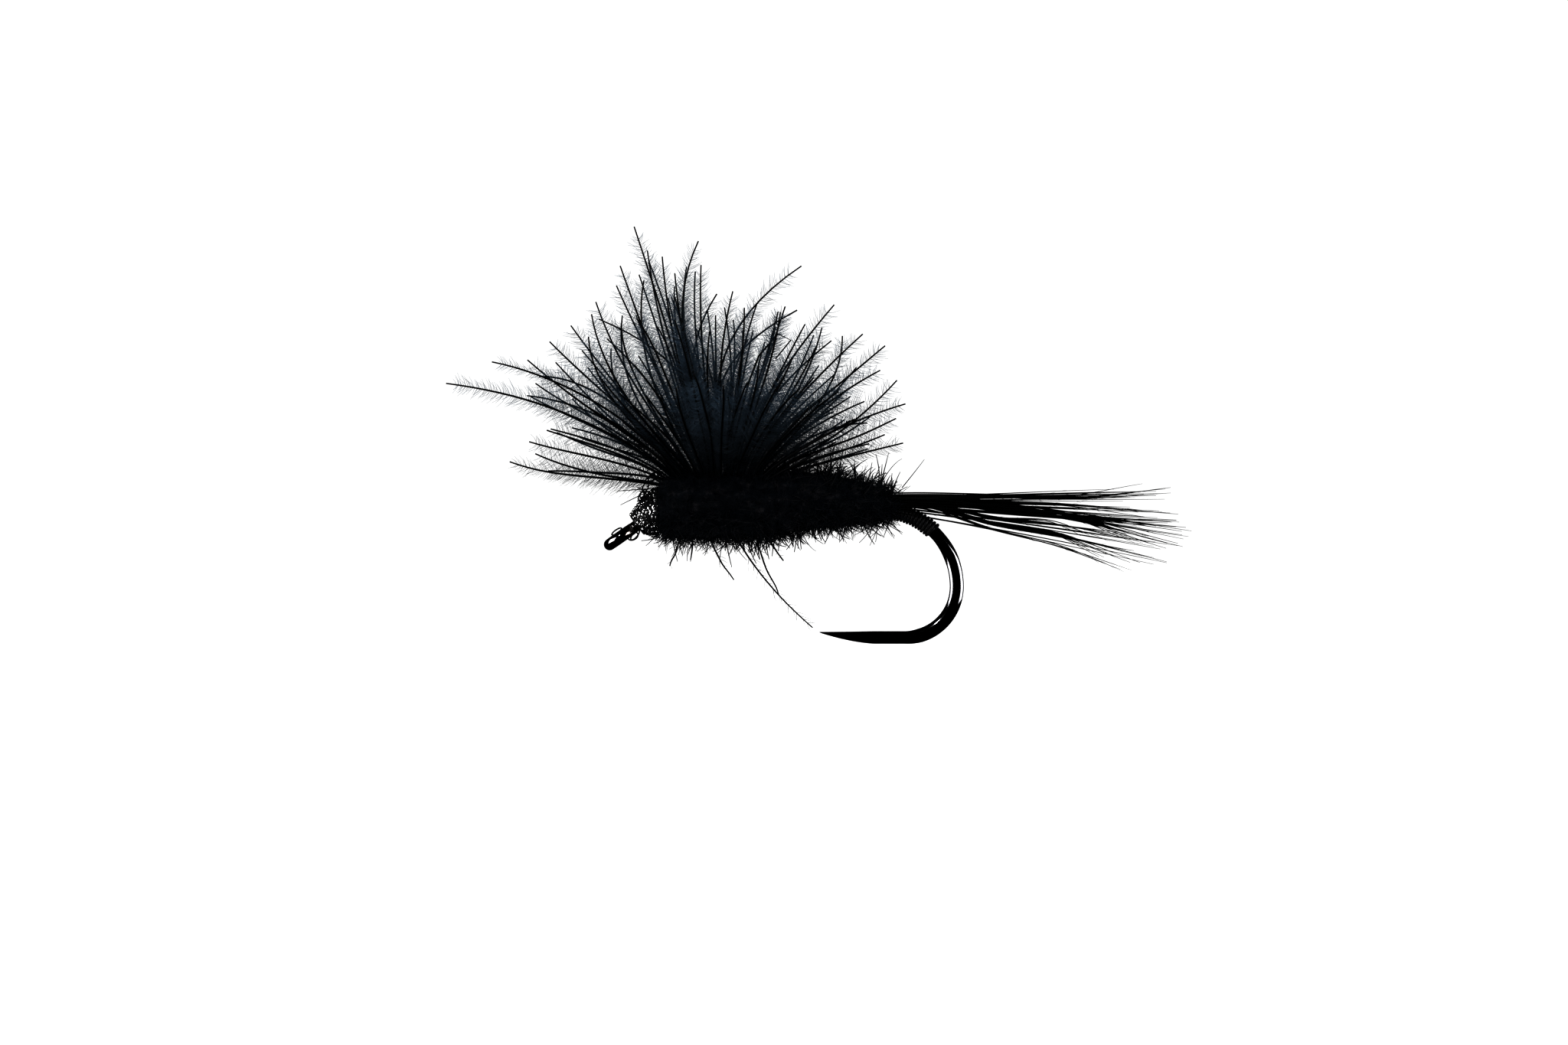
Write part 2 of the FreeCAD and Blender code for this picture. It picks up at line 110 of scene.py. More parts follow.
# The tail's locks: fibres, height at each of LOCK_XS, thickness, and the range of the tips in x and z.
LOCK_XS = (13.0, 15.3)
LOCK_LAST_X = 16.2
LOCK_ROOT_Z = 0.30
LOCK_ROOT_NOISE = 0.04
LOCK_SPREAD_Y = (0.10, 0.028)
TAIL_LOCKS = (
    (5, 1.42, 1.36, 0.05, (17.4, 19.3), (1.20, 1.85)),
    (4, 1.20, 1.12, 0.05, (17.8, 19.7), (0.80, 1.10)),
    (24, 1.02, 0.76, 0.15, (17.9, 19.9), (-0.35, 0.50)),
    (8, 0.66, 0.42, 0.07, (16.0, 17.8), (-0.10, 0.15)),
    (12, 0.44, 0.04, 0.06, (16.6, 19.1), (-0.90, -0.40)),
    (3, 0.26, -0.32, 0.03, (17.4, 17.8), (-1.28, -1.10)),
)

# The body: (x, height of the centre, radius) of its cross-sections.
THORAX = ((1.30, 1.00, 0.84), (1.62, 1.03, 1.05), (2.30, 1.04, 1.15), (3.60, 1.05, 1.17), (5.45, 1.12, 1.12))
ABDOMEN = ((5.45, 1.12, 1.12), (6.40, 1.27, 1.02), (7.80, 1.22, 0.86), (8.80, 1.17, 0.66), (9.40, 1.08, 0.51))
BODY = THORAX + ABDOMEN[1:]
BODY_EASING = 0.22
BODY_RELIEF = 0.030
BODY_INSET = 0.045

# The matted cores: name, from and to in x, seed, and the lengths over which the ends are rounded.
CORES = (("thorax", 1.22, 5.75, 61, 0.16, 0.5), ("abdomen", 5.10, 9.52, 62, 0.5, 0.5))

# The fur: name, from and to in x, and count. Its layers: the part of the count, lengths, lift off the body,
# radii, and angles from the top.
FUR = (("thorax", 1.34, 5.45, 3600), ("abdomen", 5.45, 9.45, 3000))
FUR_LAYERS = (
    (1, (0.25, 0.60), (0.05, 0.40), (0.012, 0.006), (0, 360)),
    (3, (0.24, 0.50), (0.40, 0.90), (0.0085, 0.003), (0, 360)),
    (8, (0.30, 0.70), (0.35, 0.75), (0.020, 0.008), (95, 265)),
)
FUR_ROOT_DEPTH = 0.09

# Guard hairs: name, body, count, seed, angles from the top, lengths, and the count of shorter ones.
GUARD_HAIRS = (
    ("abdomen", ABDOMEN, 26, 32, (-150, 150), (0.55, 1.35), 70),
    ("thorax", THORAX, 22, 31, (80, 280), (0.5, 1.15), 40),
)
GUARD_HAIR_RADII = (0.018, 0.005)
SHORT_HAIR_RADII = (0.017, 0.005)
SHORT_HAIR_LENGTHS = (0.25, 0.65)

# Stiffer hairs: from and to in x, count, and the rest as in a layer of fur. The last value leans them back.
BACK_SPIKES = (5.6, 9.45, 200, (0.42, 0.95), (0.50, 0.90), (0.032, 0.009), (-75, 75), 0.7)
WAIST_HAIRS = (3.9, 6.3, 40, (0.35, 0.70), (0.6, 0.95), (0.028, 0.012), (160, 200))
BELLY_HAIRS = (90, (0.30, 0.75), (0.5, 0.9), (0.027, 0.012), (110, 250))

# The wing.
STEM_R = 0.07
STEMS_Y = (-0.08, 0.08, -0.24, 0.24)
STEM_X = (1.60, 5.25)
STEM_Z = SHANK_Z + BASE_R + STEM_R
SHAFT_RADII = (0.042, 0.025)
SHAFT_TAPER = 4.0
SHAFT_RINGS = 26
BARB_ROOTS_X = (2.12, 4.76)
BARB_ROOTS_SPAN = BARB_ROOTS_X[1] - BARB_ROOTS_X[0]
FAN_CENTRE = (3.40, 2.30)
FAN_WAIST = (1.75, 5.05, 2.62)
WAIST_SPREAD_Y = 1.9
BARB_ARCH = (0.42, 0.40, 0.47)
BARB_ARCH_LIFT = 0.22
INNER_PULL = (0.74, 0.94)
TIP_DEPTHS = (0.30, 1.60)
MORE_TIP_DEPTHS = (0.2, 1.2)
FAN_OUTLINE = (
    (-3.84, 2.60), (-3.12, 3.28), (-6.00, 5.30), (-4.43, 6.05), (-3.22, 6.13), (-2.41, 6.73), (-1.07, 6.90),
    (-0.98, 7.70), (0.01, 9.37), (0.48, 10.75), (0.93, 9.94), (1.46, 9.70), (1.90, 9.11), (2.29, 9.37),
    (2.72, 10.20), (3.90, 8.51), (5.47, 7.80), (6.28, 9.40), (6.40, 7.32), (7.41, 8.01), (8.39, 6.99),
    (9.17, 6.60), (9.02, 5.78), (9.88, 4.60), (9.55, 4.09), (9.81, 3.25),
)
# How far the barbs of the middle plumes bow away from a straight line, in x and z, in the outline's order.
FAN_BOWS = (
    (0, -0.75), (0, 0.1), (0, 1.0), (0, 1.2), (0, -0.75), (-0.3, -0.1), (-1.7, -0.3), (-1.5, -0.4),
    (-0.35, 0), (0.35, 0), (0, 0), (-0.6, 0), (-0.4, 0), (-0.9, 0), (-2.0, 0), (-0.8, 0),
    (0, 0), (-3.5, 0.5), (-0.5, 0), (-1.2, 0), (-0.6, 0), (0, 0), (0, 0.5), (0, 0.7),
    (0, 0), (0, -0.3),
)
BOW_SHARES = (0.52, 0.42, 0.48)
BOW_NOISE = 0.20
MORE_BOW_NOISE = 0.30
LOW_BARB_Z = 5.2
LOW_BARB_DROP = 0.42

# More barbs on the near and the far plume: the tip in x and z, and the bow in x and z.
NEAR_TIPS = (
    (2.80, 9.42, -0.4, 0), (3.30, 7.69, 0, 0), (4.74, 8.05, -0.5, 0), (6.77, 6.56, 0, 0),
    (7.70, 6.96, 1.5, 0), (9.59, 5.42, 0, -1.0), (8.63, 3.22, 0, 0), (-1.43, 3.45, 0, 0.2),
    (0.04, 7.42, -1.2, 0), (-0.76, 7.56, 3.6, 0.6), (1.90, 8.30, 0, 0), (0.83, 8.87, -2.3, 0),
)
FAR_TIPS = tuple((x, z, 0, 0) for x, z in (
    (-2.60, 2.30), (-3.20, 4.90), (-3.00, 5.35), (-1.80, 7.40), (-0.90, 8.20), (-0.20, 8.80), (3.00, 7.90),
    (3.60, 8.00), (3.90, 7.60), (4.60, 7.20), (5.00, 6.80), (7.00, 7.30), (6.90, 6.00), (7.40, 5.20),
    (8.20, 5.90), (8.00, 4.90), (7.80, 4.10), (7.40, 3.50),
))
MORE_BARBS = 4
MIDDLE_BARBS = (7, 19)
MIDDLE_REACH = (0.45, 0.85)

# A barb that is broken over near its tip, from its root in the near plume's stem.
KINKED_BARB = (
    (3.60, -0.08, 1.30), (3.70, -0.30, 2.40), (3.95, -0.80, 3.40), (4.45, -1.40, 5.30), (4.81, -1.65, 6.23),
    (5.46, -1.70, 6.99), (5.91, -1.70, 6.77), (5.38, -1.70, 6.12),
)
SIDE_LEAN_DEG = (24, 58)
SIDE_LEAN_NOISE_DEG = 9
SIDE_REACH = (4.2, 6.4)
SIDE_FAN_DEG = (6, 168)
SIDE_DOWN_Z = 5.0

# The head: the whip finish on the neck, then (x, z, heading, radius) of the cone.
WHIP_FROM = 0.70
WHIP_LENGTH = 0.18
WHIP_R = 0.40
HEAD_FIRST_R = 0.50
HEAD_END_X = 1.30
HEAD = ((0.93, 0.68, -18, 0.70), (1.12, 0.80, -8, 0.79), (HEAD_END_X, 0.90, 0, 0.84))
CUT_END_RADII = (0.022, 0.018)
CUT_ENDS = 7

# The varnish: how far its film and its beads stand off the turns' seat, and the beads' count and radii.
FILM_LIFT = 0.036
BEAD_LIFT = 0.030
BEADS = 150
BEAD_RADII = (0.030, 0.080)

# Loose barbs below the body: the root's x and angle from the top, and the tip.
STRAYS = (
    (4.04, 178, 6.72, -0.30, -3.10), (2.05, 172, 1.72, -0.55, -0.98), (3.10, 186, 3.95, 0.45, -1.46),
    (4.70, 168, 5.45, -1.05, -2.05), (5.10, 196, 5.72, 1.00, -0.86),
)
STRAY_RADII = (0.034, 0.022)
STRAY_TAPER = 1.6
ROOT_DEPTH = 0.06

# Single hairs that stand clear on the near side: root, turn and tip, with the root's radius.
CLEAR_HAIRS = (
    ((9.78, -0.05, 1.70), (10.15, -0.10, 2.15), (10.56, -0.15, 2.69), 0.016),
    ((1.85, -0.35, 0.05), (1.50, -0.45, -0.06), (1.33, -0.50, -0.36), 0.018),
    ((1.80, -0.30, 0.10), (1.84, -0.40, -0.35), (1.98, -0.45, -0.86), 0.022),
    ((1.84, -0.40, -0.22), (2.02, -0.45, -0.28), (2.10, -0.48, -0.05), 0.014),
    ((1.10, -0.60, 1.66), (0.60, -0.80, 1.64), (-0.10, -0.95, 1.58), 0.020),
    ((1.05, -0.55, 1.60), (0.60, -0.75, 1.40), (0.02, -0.90, 1.10), 0.018),
    ((3.60, -0.30, -0.02), (3.40, -0.60, -0.70), (3.46, -0.75, -1.06), 0.016),
    ((8.60, -0.40, 0.60), (8.70, -0.60, 0.20), (9.05, -0.70, 0.02), 0.018),
    ((7.50, -0.50, 0.42), (7.62, -0.70, 0.05), (7.60, -0.80, -0.20), 0.018),
)

# Slack loops of thread round the eye and the head: centre, half width, half height and tilt in degrees.
THREAD_LOOPS = (
    ((0.42, -0.12, 0.02), 0.19, 0.13, 25), ((0.50, -0.12, 0.06), 0.22, 0.08, 50),
    ((-0.13, -0.42, 0.18), 0.20, 0.06, 35),
    ((1.00, -0.12, 1.98), 0.20, 0.09, 35), ((1.22, -0.12, 2.16), 0.24, 0.08, 20),
    ((1.08, -0.12, 2.06), 0.10, 0.16, -30), ((0.86, -0.12, 1.72), 0.09, 0.19, -25),
    ((0.72, -0.12, 1.42), 0.08, 0.18, -30), ((0.78, -0.30, 1.50), 0.07, 0.16, -35),
)
LOOP_THREAD_R = 0.026
LOOP_POINTS = 25

# The camera looks square on from the near side, and this much of the fly's plane fills the frame's width.
VIEW_WIDTH = 54.58
VIEW_CENTRE = (5.676, 0.493)
LENS = 100.0
SENSOR = 36.0
VIEW_GAMMA = 0.62


def add_object(name, data):
    obj = bpy.data.objects.new(name, data)
    SCENE.collection.objects.link(obj)
    return obj


camera_data = bpy.data.cameras.new("camera")
camera_data.lens = LENS
camera_data.sensor_width = SENSOR
camera_data.clip_start = 0.005
camera_data.clip_end = 20
camera = add_object("camera", camera_data)
camera.location = (VIEW_CENTRE[0] * MM, -VIEW_WIDTH * MM * LENS / SENSOR, VIEW_CENTRE[1] * MM)
camera.rotation_euler = (math.pi / 2, 0, 0)
bpy.context.scene.camera = camera
SCENE.view_settings.view_transform = "Standard"
SCENE.view_settings.gamma = VIEW_GAMMA


# Mesh making.

def unit(v):
    return v / np.maximum(np.linalg.norm(v, axis=-1, keepdims=True), 1e-12)


class Soup:
    """Closed shells gathered into one mesh, in millimetres."""

    def __init__(self):
        self.verts, self.faces, self.count = [], [], 0

    def add(self, verts, *faces):
        verts = np.asarray(verts, float).reshape(-1, 3)
        self.faces += [np.asarray(f, np.int64) + self.count for f in faces if len(f)]
        self.verts.append(verts)
        self.count += len(verts)

    def piece(self, name, material, slot, *replaced):
        verts = np.vstack(self.verts) * MM
        loops = np.concatenate([f.ravel() for f in self.faces])
        sizes = np.concatenate([np.full(len(f), f.shape[1]) for f in self.faces])
        starts = np.concatenate([[0], np.cumsum(sizes)[:-1]])
        mesh = bpy.data.meshes.new(name)
        mesh.vertices.add(len(verts))
        mesh.vertices.foreach_set("co", verts.astype(np.float32).ravel())
        mesh.loops.add(len(loops))
        mesh.loops.foreach_set("vertex_index", loops.astype(np.int32))
        mesh.polygons.add(len(sizes))
        mesh.polygons.foreach_set("loop_start", starts.astype(np.int32))
        mesh.polygons.foreach_set("use_smooth", np.ones(len(sizes), bool))
        mesh.update(calc_edges=True)
        mesh.materials.append(material)
        obj = add_object(name, mesh)
        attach(obj, "root")
        if replaced:
            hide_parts(*replaced)


def angles_round(count):
    return np.arange(count) * TAU / count


def skin(rings):
    """Closed faces over a block of rings, (n lines, k rings, s sides) vertices in that order."""
    n, k, s = rings
    line = (np.arange(n) * k * s)[:, None, None]
    ring = (np.arange(k - 1) * s)[None, :, None]
    j = np.arange(s)[None, None, :]
    jn = (j + 1) % s
    quads = np.stack([line + ring + j, line + ring + jn, line + ring + s + jn, line + ring + s + j], -1)
    first = (np.arange(n) * k * s)[:, None]
    last = first + (k - 1) * s
    return [quads.reshape(-1, 4), first + np.arange(s)[None, ::-1], last + np.arange(s)[None, :]]


def add_tubes(soup, lines, radii, sides):
    """Closed tubes round lines, (n, k, 3), with radii, (n, k)."""
    n, k, _ = lines.shape
    along = unit(np.gradient(lines, axis=1))
    reference = np.where(np.abs(along[:, 0, 2:3]) < 0.8, np.array([[0.0, 0, 1]]), np.array([[1.0, 0, 0]]))
    normal = unit(np.cross(along[:, 0], reference))
    normals = []
    for i in range(k):
        normal = unit(normal - along[:, i] * np.sum(normal * along[:, i], -1, keepdims=True))
        normals.append(normal)
    normal = np.stack(normals, 1)
    side = np.cross(along, normal)
    a = angles_round(sides)
    ring = normal[:, :, None, :] * np.cos(a)[:, None] + side[:, :, None, :] * np.sin(a)[:, None]
    verts = lines[:, :, None, :] + ring * radii[:, :, None, None]
    soup.add(verts, *skin((n, k, sides)))


def bezier_points(poles, k):
    """Points of many Bezier curves of one degree: poles (n, d + 1, 3) gives (n, k, 3)."""
    poles = np.asarray(poles, float)
    t = np.linspace(0, 1, k)[None, :, None]
    layers = [poles[:, i:i + 1, :] for i in range(poles.shape[1])]
    while len(layers) > 1:
        layers = [a * (1 - t) + b * t for a, b in zip(layers, layers[1:])]
    return layers[0]


def taper(n, k, root, tip, power=1.0):
    t = np.linspace(0, 1, k) ** power
    return np.broadcast_to(root + (tip - root) * t, (n, k)).copy()


def wave(lines, rng, size, turns, from_share=0.15):
    """Bends lines sideways with smooth random waves that grow from the root."""
    n, k, _ = lines.shape
    t = np.linspace(0, 1, k)
    grow = np.clip((t - from_share) / (1 - from_share), 0, 1) ** 1.2
    along = unit(np.gradient(lines, axis=1))
    a = unit(np.cross(along, np.array([0.0, 1.0, 0.02])))
    b = np.cross(along, a)
    out = lines.copy()
    for side in (a, b):
        for harmonic in (1.0, 2.3):
            phase = rng.uniform(0, TAU, (n, 1))
            rate = rng.uniform(*turns, (n, 1)) * harmonic
            height = rng.normal(0, size / harmonic, (n, 1))
            swing = (np.sin(phase + TAU * rate * t) - np.sin(phase)) * height * grow
            out += side * swing[:, :, None]
    return out


def sample(lines, rows, t):
    """Points and directions at shares t of the polylines whose numbers are rows; both are flat."""
    k = lines.shape[1]
    along = unit(np.gradient(lines, axis=1))
    f = np.clip(t * (k - 1), 0, k - 1.001)
    i = f.astype(int)
    w = (f - i)[:, None]
    return (lines[rows, i] * (1 - w) + lines[rows, i + 1] * w,
            unit(along[rows, i] * (1 - w) + along[rows, i + 1] * w))


# Materials. Texture sizes are given in millimetres.

class Shader:
    """A Principled material with object-space textures."""

    def __init__(self, name, **sockets):
        self.material = bpy.data.materials.new(name)
        self.material.use_nodes = True
        self.tree = self.material.node_tree
        self.bsdf = self.tree.nodes["Principled BSDF"]
        self.coordinates = self.node("TexCoord")
        for socket, value in sockets.items():
            self.bsdf.inputs[socket.replace("_", " ")].default_value = value

    def link(self, a, b):
        self.tree.links.new(a, b)

    def node(self, kind, **values):
        made = self.tree.nodes.new("ShaderNode" + kind)
        for socket, value in values.items():
            made.inputs[socket.replace("_", " ")].default_value = value
        return made

    def noise(self, size, detail, stretch=(1, 1, 1), roughness=0.5):
        mapping = self.node("Mapping", Scale=[1 / (size * MM * s) for s in stretch])
        self.link(self.coordinates.outputs["Object"], mapping.inputs["Vector"])
        texture = self.node("TexNoise", Scale=1.0, Detail=detail, Roughness=roughness)
        self.link(mapping.outputs["Vector"], texture.inputs["Vector"])
        return texture.outputs["Fac"]

    def colour(self, factor, stops, shade=None):
        """A ramp of colours. shade, a painted shade, is two heights and the share of the colour left at the
        lower.
        """
        ramp = self.node("ValToRGB")
        elements = ramp.color_ramp.elements
        while len(elements) < len(stops):
            elements.new(0.5)
        for element, (position, colour) in zip(elements, stops):
            element.position = position
            element.color = (*colour, 1)
        self.link(factor, ramp.inputs["Fac"])
        result = ramp.outputs["Color"]
        if shade:
            low, high, share = shade
            parts = self.node("SeparateXYZ")
            self.link(self.coordinates.outputs["Object"], parts.inputs["Vector"])
            height = self.node("MapRange", From_Min=low * MM, From_Max=high * MM, To_Min=share)
            self.link(parts.outputs["Z"], height.inputs["Value"])
            scaled = self.node("VectorMath")
            scaled.operation = "SCALE"
            self.link(result, scaled.inputs[0])
            self.link(height.outputs["Result"], scaled.inputs["Scale"])
            result = scaled.outputs["Vector"]
        self.link(result, self.bsdf.inputs["Base Color"])

    def rough(self, factor, low, high):
        """A roughness from low to high over the noise's usual range."""
        node = self.node("MapRange", From_Min=0.3, From_Max=0.7, To_Min=low, To_Max=high)
        self.link(factor, node.inputs["Value"])
        self.link(node.outputs["Result"], self.bsdf.inputs["Roughness"])

    def bump(self, height, depth, strength):
        node = self.node("Bump", Distance=depth * MM, Strength=strength)
        self.link(height, node.inputs["Height"])
        self.link(node.outputs["Normal"], self.bsdf.inputs["Normal"])


# The materials: name, sockets, the colour's noise and stops, the roughness's noise and range, and the bump's
# noise, depth and strength. A noise has a size, a detail, a stretch and a roughness.
LOOKS = {
    "hook": (
        "black_nickel", dict(Metallic=1.0, Coat_Weight=0.4, Coat_Roughness=0.03), (0.9, 4),
        # The warm brown top stop is a painted reflection: brown patches over the coating stand in for a warm
        # brown reflection seen at the bend.
        [(0.3, (0.17, 0.17, 0.18)), (0.55, (0.24, 0.24, 0.25)), (0.75, (0.30, 0.25, 0.21))],
        (0.6, 3), (0.06, 0.12), (0.12, 2), (0.003, 0.12)),
    "thread": (
        "tying_thread", dict(Specular_IOR_Level=0.35, Sheen_Weight=0.02), (0.18, 3),
        [(0.3, (0.0016, 0.0018, 0.0032)), (0.55, (0.0050, 0.0050, 0.0066)), (0.8, (0.0140, 0.0120, 0.0130))],
        (0.08, 2), (0.32, 0.55), (0.03, 2, (1, 3, 1)), (0.010, 0.6)),
    "cement": (
        "head_cement", dict(IOR=2.6, Coat_Weight=1.0, Coat_Roughness=0.02, Coat_IOR=3.6), (0.12, 3),
        [(0.35, (0.0006, 0.0007, 0.0012)), (0.7, (0.0040, 0.0040, 0.0050))],
        (0.1, 2), (0.04, 0.14), (0.06, 2), (0.012, 0.5)),
    "dubbing": (
        "dubbing_fur", dict(Specular_IOR_Level=0.08), (0.35, 5, (1, 1, 1), 0.7),
        # The two lightest stops are partly lighter brown fibres and partly painted glints; the reddish brown
        # top stop stands in for the body's reddish brown glints.
        [(0.30, (0.0018, 0.0033, 0.0060)), (0.55, (0.0068, 0.0095, 0.0138)),
         (0.70, (0.0480, 0.0450, 0.0500)), (0.80, (0.1300, 0.0820, 0.0700))],
        (0.15, 3), (0.55, 0.85), (0.05, 3), (0.02, 0.8)),
    "guard_hair": (
        "guard_hair", dict(Specular_IOR_Level=0.15), (0.4, 3),
        [(0.3, (0.0016, 0.0030, 0.0050)), (0.7, (0.0150, 0.0155, 0.0180))],
        (0.2, 2), (0.30, 0.50), (0.03, 2), (0.004, 0.5)),
    "shaft": (
        "barb_shaft", dict(Specular_IOR_Level=0.12), (0.5, 3),
        [(0.3, (0.0003, 0.0007, 0.0013)), (0.7, (0.0018, 0.0026, 0.0036))],
        (0.2, 2), (0.35, 0.60), (0.03, 2), (0.004, 0.5)),
    "down": (
        "barbule_down", dict(Specular_IOR_Level=0.1), (0.7, 5),
        [(0.30, (0.020, 0.029, 0.040)), (0.55, (0.050, 0.078, 0.108)),
         # The palest top stop gives rare pale flecks: painted highlights on the down.
         (0.70, (0.095, 0.132, 0.172)), (0.78, (0.380, 0.440, 0.500))],
        (0.3, 2), (0.45, 0.75)),
    "hackle": (
        "hackle_fibre", dict(Specular_IOR_Level=0.25), (0.8, 3, (4, 1, 1)),
        [(0.3, (0.0004, 0.0008, 0.0010)), (0.55, (0.0020, 0.0027, 0.0024)), (0.75, (0.0065, 0.0078, 0.0052))],
        (0.3, 2, (4, 1, 1)), (0.22, 0.42), (0.03, 2, (6, 1, 1)), (0.004, 0.5)),
}

# The down is darker low in the fan: painted shade.
DOWN_PAINTED_SHADE = (2.2, 5.0, 0.18)


def make_material(key):
    name, sockets, colour_noise, stops, rough_noise, roughness, *bump = LOOKS[key]
    s = Shader(name, **sockets)
    s.colour(s.noise(*colour_noise), stops, DOWN_PAINTED_SHADE if key == "down" else None)
    s.rough(s.noise(*rough_noise), *roughness)
    if bump:
        s.bump(s.noise(*bump[0]), *bump[1])
    return s.material


# The hook.

class Track:
    """A place on the hook's centreline, and its heading in degrees below +X."""

    def __init__(self, x, z, heading):
        self.x, self.z, self.heading = x, z, heading

    def along(self):
        a = math.radians(self.heading)
        return np.array([math.cos(a), 0, -math.sin(a)])

    def inward(self):
        a = math.radians(self.heading)
        return np.array([-math.sin(a), 0, -math.cos(a)])

    def point(self):
        return np.array([self.x, 0, self.z])

    def ahead(self, length):
        p = self.point() + self.along() * length
        return Track(p[0], p[2], self.heading)

    def turned(self, radius, degrees):
        end = Track(0, 0, self.heading + degrees)
        p = self.point() + self.inward() * radius - end.inward() * radius
        return Track(p[0], p[2], end.heading)


NECK = Track(0, 0, -EYE_DROOP_DEG)
DROOP = math.radians(EYE_DROOP_DEG)
NECK_STRAIGHT = SHANK_Z / math.sin(DROOP) - NECK_BEND_R * math.tan(DROOP / 2)
NECK_TOP = NECK.ahead(NECK_STRAIGHT)
SHANK_START = NECK_TOP.turned(NECK_BEND_R, EYE_DROOP_DEG)
BEND_START = Track(BEND_START_X, SHANK_Z, 0)


def make_hook(material):
    """One swept wire from the neck to the point, and the ring of the eye."""
    stations = []

    def run(start, radius, degrees, length, first, last, steps):
        """Adds stations along an arc or, with no radius, along a straight."""
        for i in range(steps):
            share = i / steps
            here = start.turned(radius, degrees * share) if radius else start.ahead(length * share)
            stations.append((here, *[a + (b - a) * share for a, b in zip(first, last)]))
        return start.turned(radius, degrees) if radius else start.ahead(length)

    wire = (WIRE_R, WIRE_R, 1.0)
    forged = (FORGED_HALF_WIDTH, FORGED_HALF_THICKNESS, FORGED_POWER)
    eye_wire = EYE_WIRE_R * NECK_WIRE_SHARE
    foot = EYE_HOLE_R + EYE_WIRE_R * NECK_FOOT_SHARE
    run(NECK.ahead(foot), 0, 0, NECK_STRAIGHT - foot, (eye_wire, eye_wire, 1.0), wire, 8)
    run(NECK_TOP, NECK_BEND_R, EYE_DROOP_DEG, 0, wire, wire, 10)
    run(SHANK_START, 0, 0, BEND_START_X - SHANK_START.x, wire, wire, 24)
    back = run(BEND_START, BEND_UPPER_R, ROUND_UPPER_DEG, 0, wire, wire, 40)
    mid = run(back, BEND_UPPER_R, FORGING_DEG, 0, wire, forged, 16)
    low = run(mid, BEND_UPPER_R, 90 - ROUND_UPPER_DEG - FORGING_DEG, 0, forged, forged, 24)
    heel = run(low, BEND_LOWER_R, 90 - FORGING_DEG, 0, forged, forged, 60)
    spear = run(heel, BEND_LOWER_R, FORGING_DEG, 0, forged, wire, 16)
    point = run(spear, 0, 0, SPEAR_LENGTH, wire, wire, 12)
    arc_r = POINT_LENGTH / math.radians(POINT_LIFT_DEG)
    for i in range(POINT_STEPS + 1):
        share = i / POINT_STEPS
        radius = WIRE_R + (POINT_TIP_R - WIRE_R) * share ** POINT_TAPER
        here = point.turned(arc_r, POINT_LIFT_DEG * share)
        p = here.point() + here.inward() * (WIRE_R - radius) * POINT_HOLLOW
        stations.append((Track(p[0], p[2], here.heading), radius, radius, 1.0))
    a = angles_round(HOOK_SIDES)
    rings = []
    for track, half_in, half_y, power in stations:
        inward = np.sign(np.cos(a)) * np.abs(np.cos(a)) * half_in
        across = np.sign(np.sin(a)) * np.abs(np.sin(a)) ** power * half_y
        rings.append(track.point() + inward[:, None] * track.inward()
                     + across[:, None] * np.array([0, -1.0, 0]))
    soup = Soup()
    soup.add(np.array(rings), *skin((1, len(rings), HOOK_SIDES)))

    ring_r = EYE_HOLE_R + EYE_WIRE_R - EYE_LAND_DEPTH
    u = np.linspace(0, TAU, RING_STEPS, endpoint=False)
    v = angles_round(RING_SIDES)
    radial = np.cos(u)[:, None] * NECK.along() + np.sin(u)[:, None] * np.array([0, 1.0, 0])
    distance = np.maximum(ring_r + EYE_WIRE_R * np.cos(v), EYE_HOLE_R)
    verts = (radial[:, None, :] * distance[None, :, None]
             - (EYE_WIRE_R * np.sin(v))[None, :, None] * NECK.inward())
    i = np.arange(RING_STEPS)[:, None] * RING_SIDES
    i_next = (np.arange(RING_STEPS)[:, None] + 1) % RING_STEPS * RING_SIDES
    j = np.arange(RING_SIDES)[None, :]
    j_next = (j + 1) % RING_SIDES
    faces = np.stack([i + j, i_next + j, i_next + j_next, i + j_next], -1).reshape(-1, 4)
    soup.add(verts, faces)
    soup.piece("hook_wire", material, "hook_wire", "hook")


# Thread.

def helix(frames, rng, pitch, thickness, width, per_turn, jitter):
    """Thread wound on a bar. frames(s) gives (point, along, up, radius) at a length s along the bar."""
    length = frames.length
    turns = length / pitch
    count = int(turns * per_turn)
    drift = np.cumsum(rng.normal(0, 1, count))
    drift = (drift - np.linspace(drift[0], drift[-1], count)) / max(1, math.sqrt(count))
    points, ups = [], []
    for i in range(count):
        share = i / (count - 1)
        point, along, up, radius = frames(share * length)
        side = np.cross(along, up)
        a = TAU * turns * share + drift[i] * 0.4
        out = up * math.cos(a) + side * math.sin(a)
        lift = jitter * math.sin(a * 0.37 + 1.3) + jitter * 0.6 * math.sin(a * 1.13)
        points.append(point + out * (radius + thickness + lift) + along * drift[i] * pitch * 0.25)
        ups.append(out)
    points, ups = np.array(points), np.array(ups)
    heading = unit(np.gradient(points, axis=0))
    across = unit(np.cross(heading, ups))
    out = np.cross(across, heading)
    sides = 8
    b = angles_round(sides)
    verts = points[:, None, :] + across[:, None, :] * (np.cos(b) * width)[None, :, None]
    verts = verts + out[:, None, :] * (np.sin(b) * thickness)[None, :, None]
    return verts, skin((1, count, sides))


class BendFrames:
    """Frames along the start of the hook's bend."""

    length = BEND_UPPER_R * math.radians(BEND_WRAPS_DEG)

    def __call__(self, s):
        here = BEND_START.turned(BEND_UPPER_R, math.degrees(s / BEND_UPPER_R))
        return here.point(), here.along(), -here.inward(), WIRE_R + REAR_TURNS_GAP


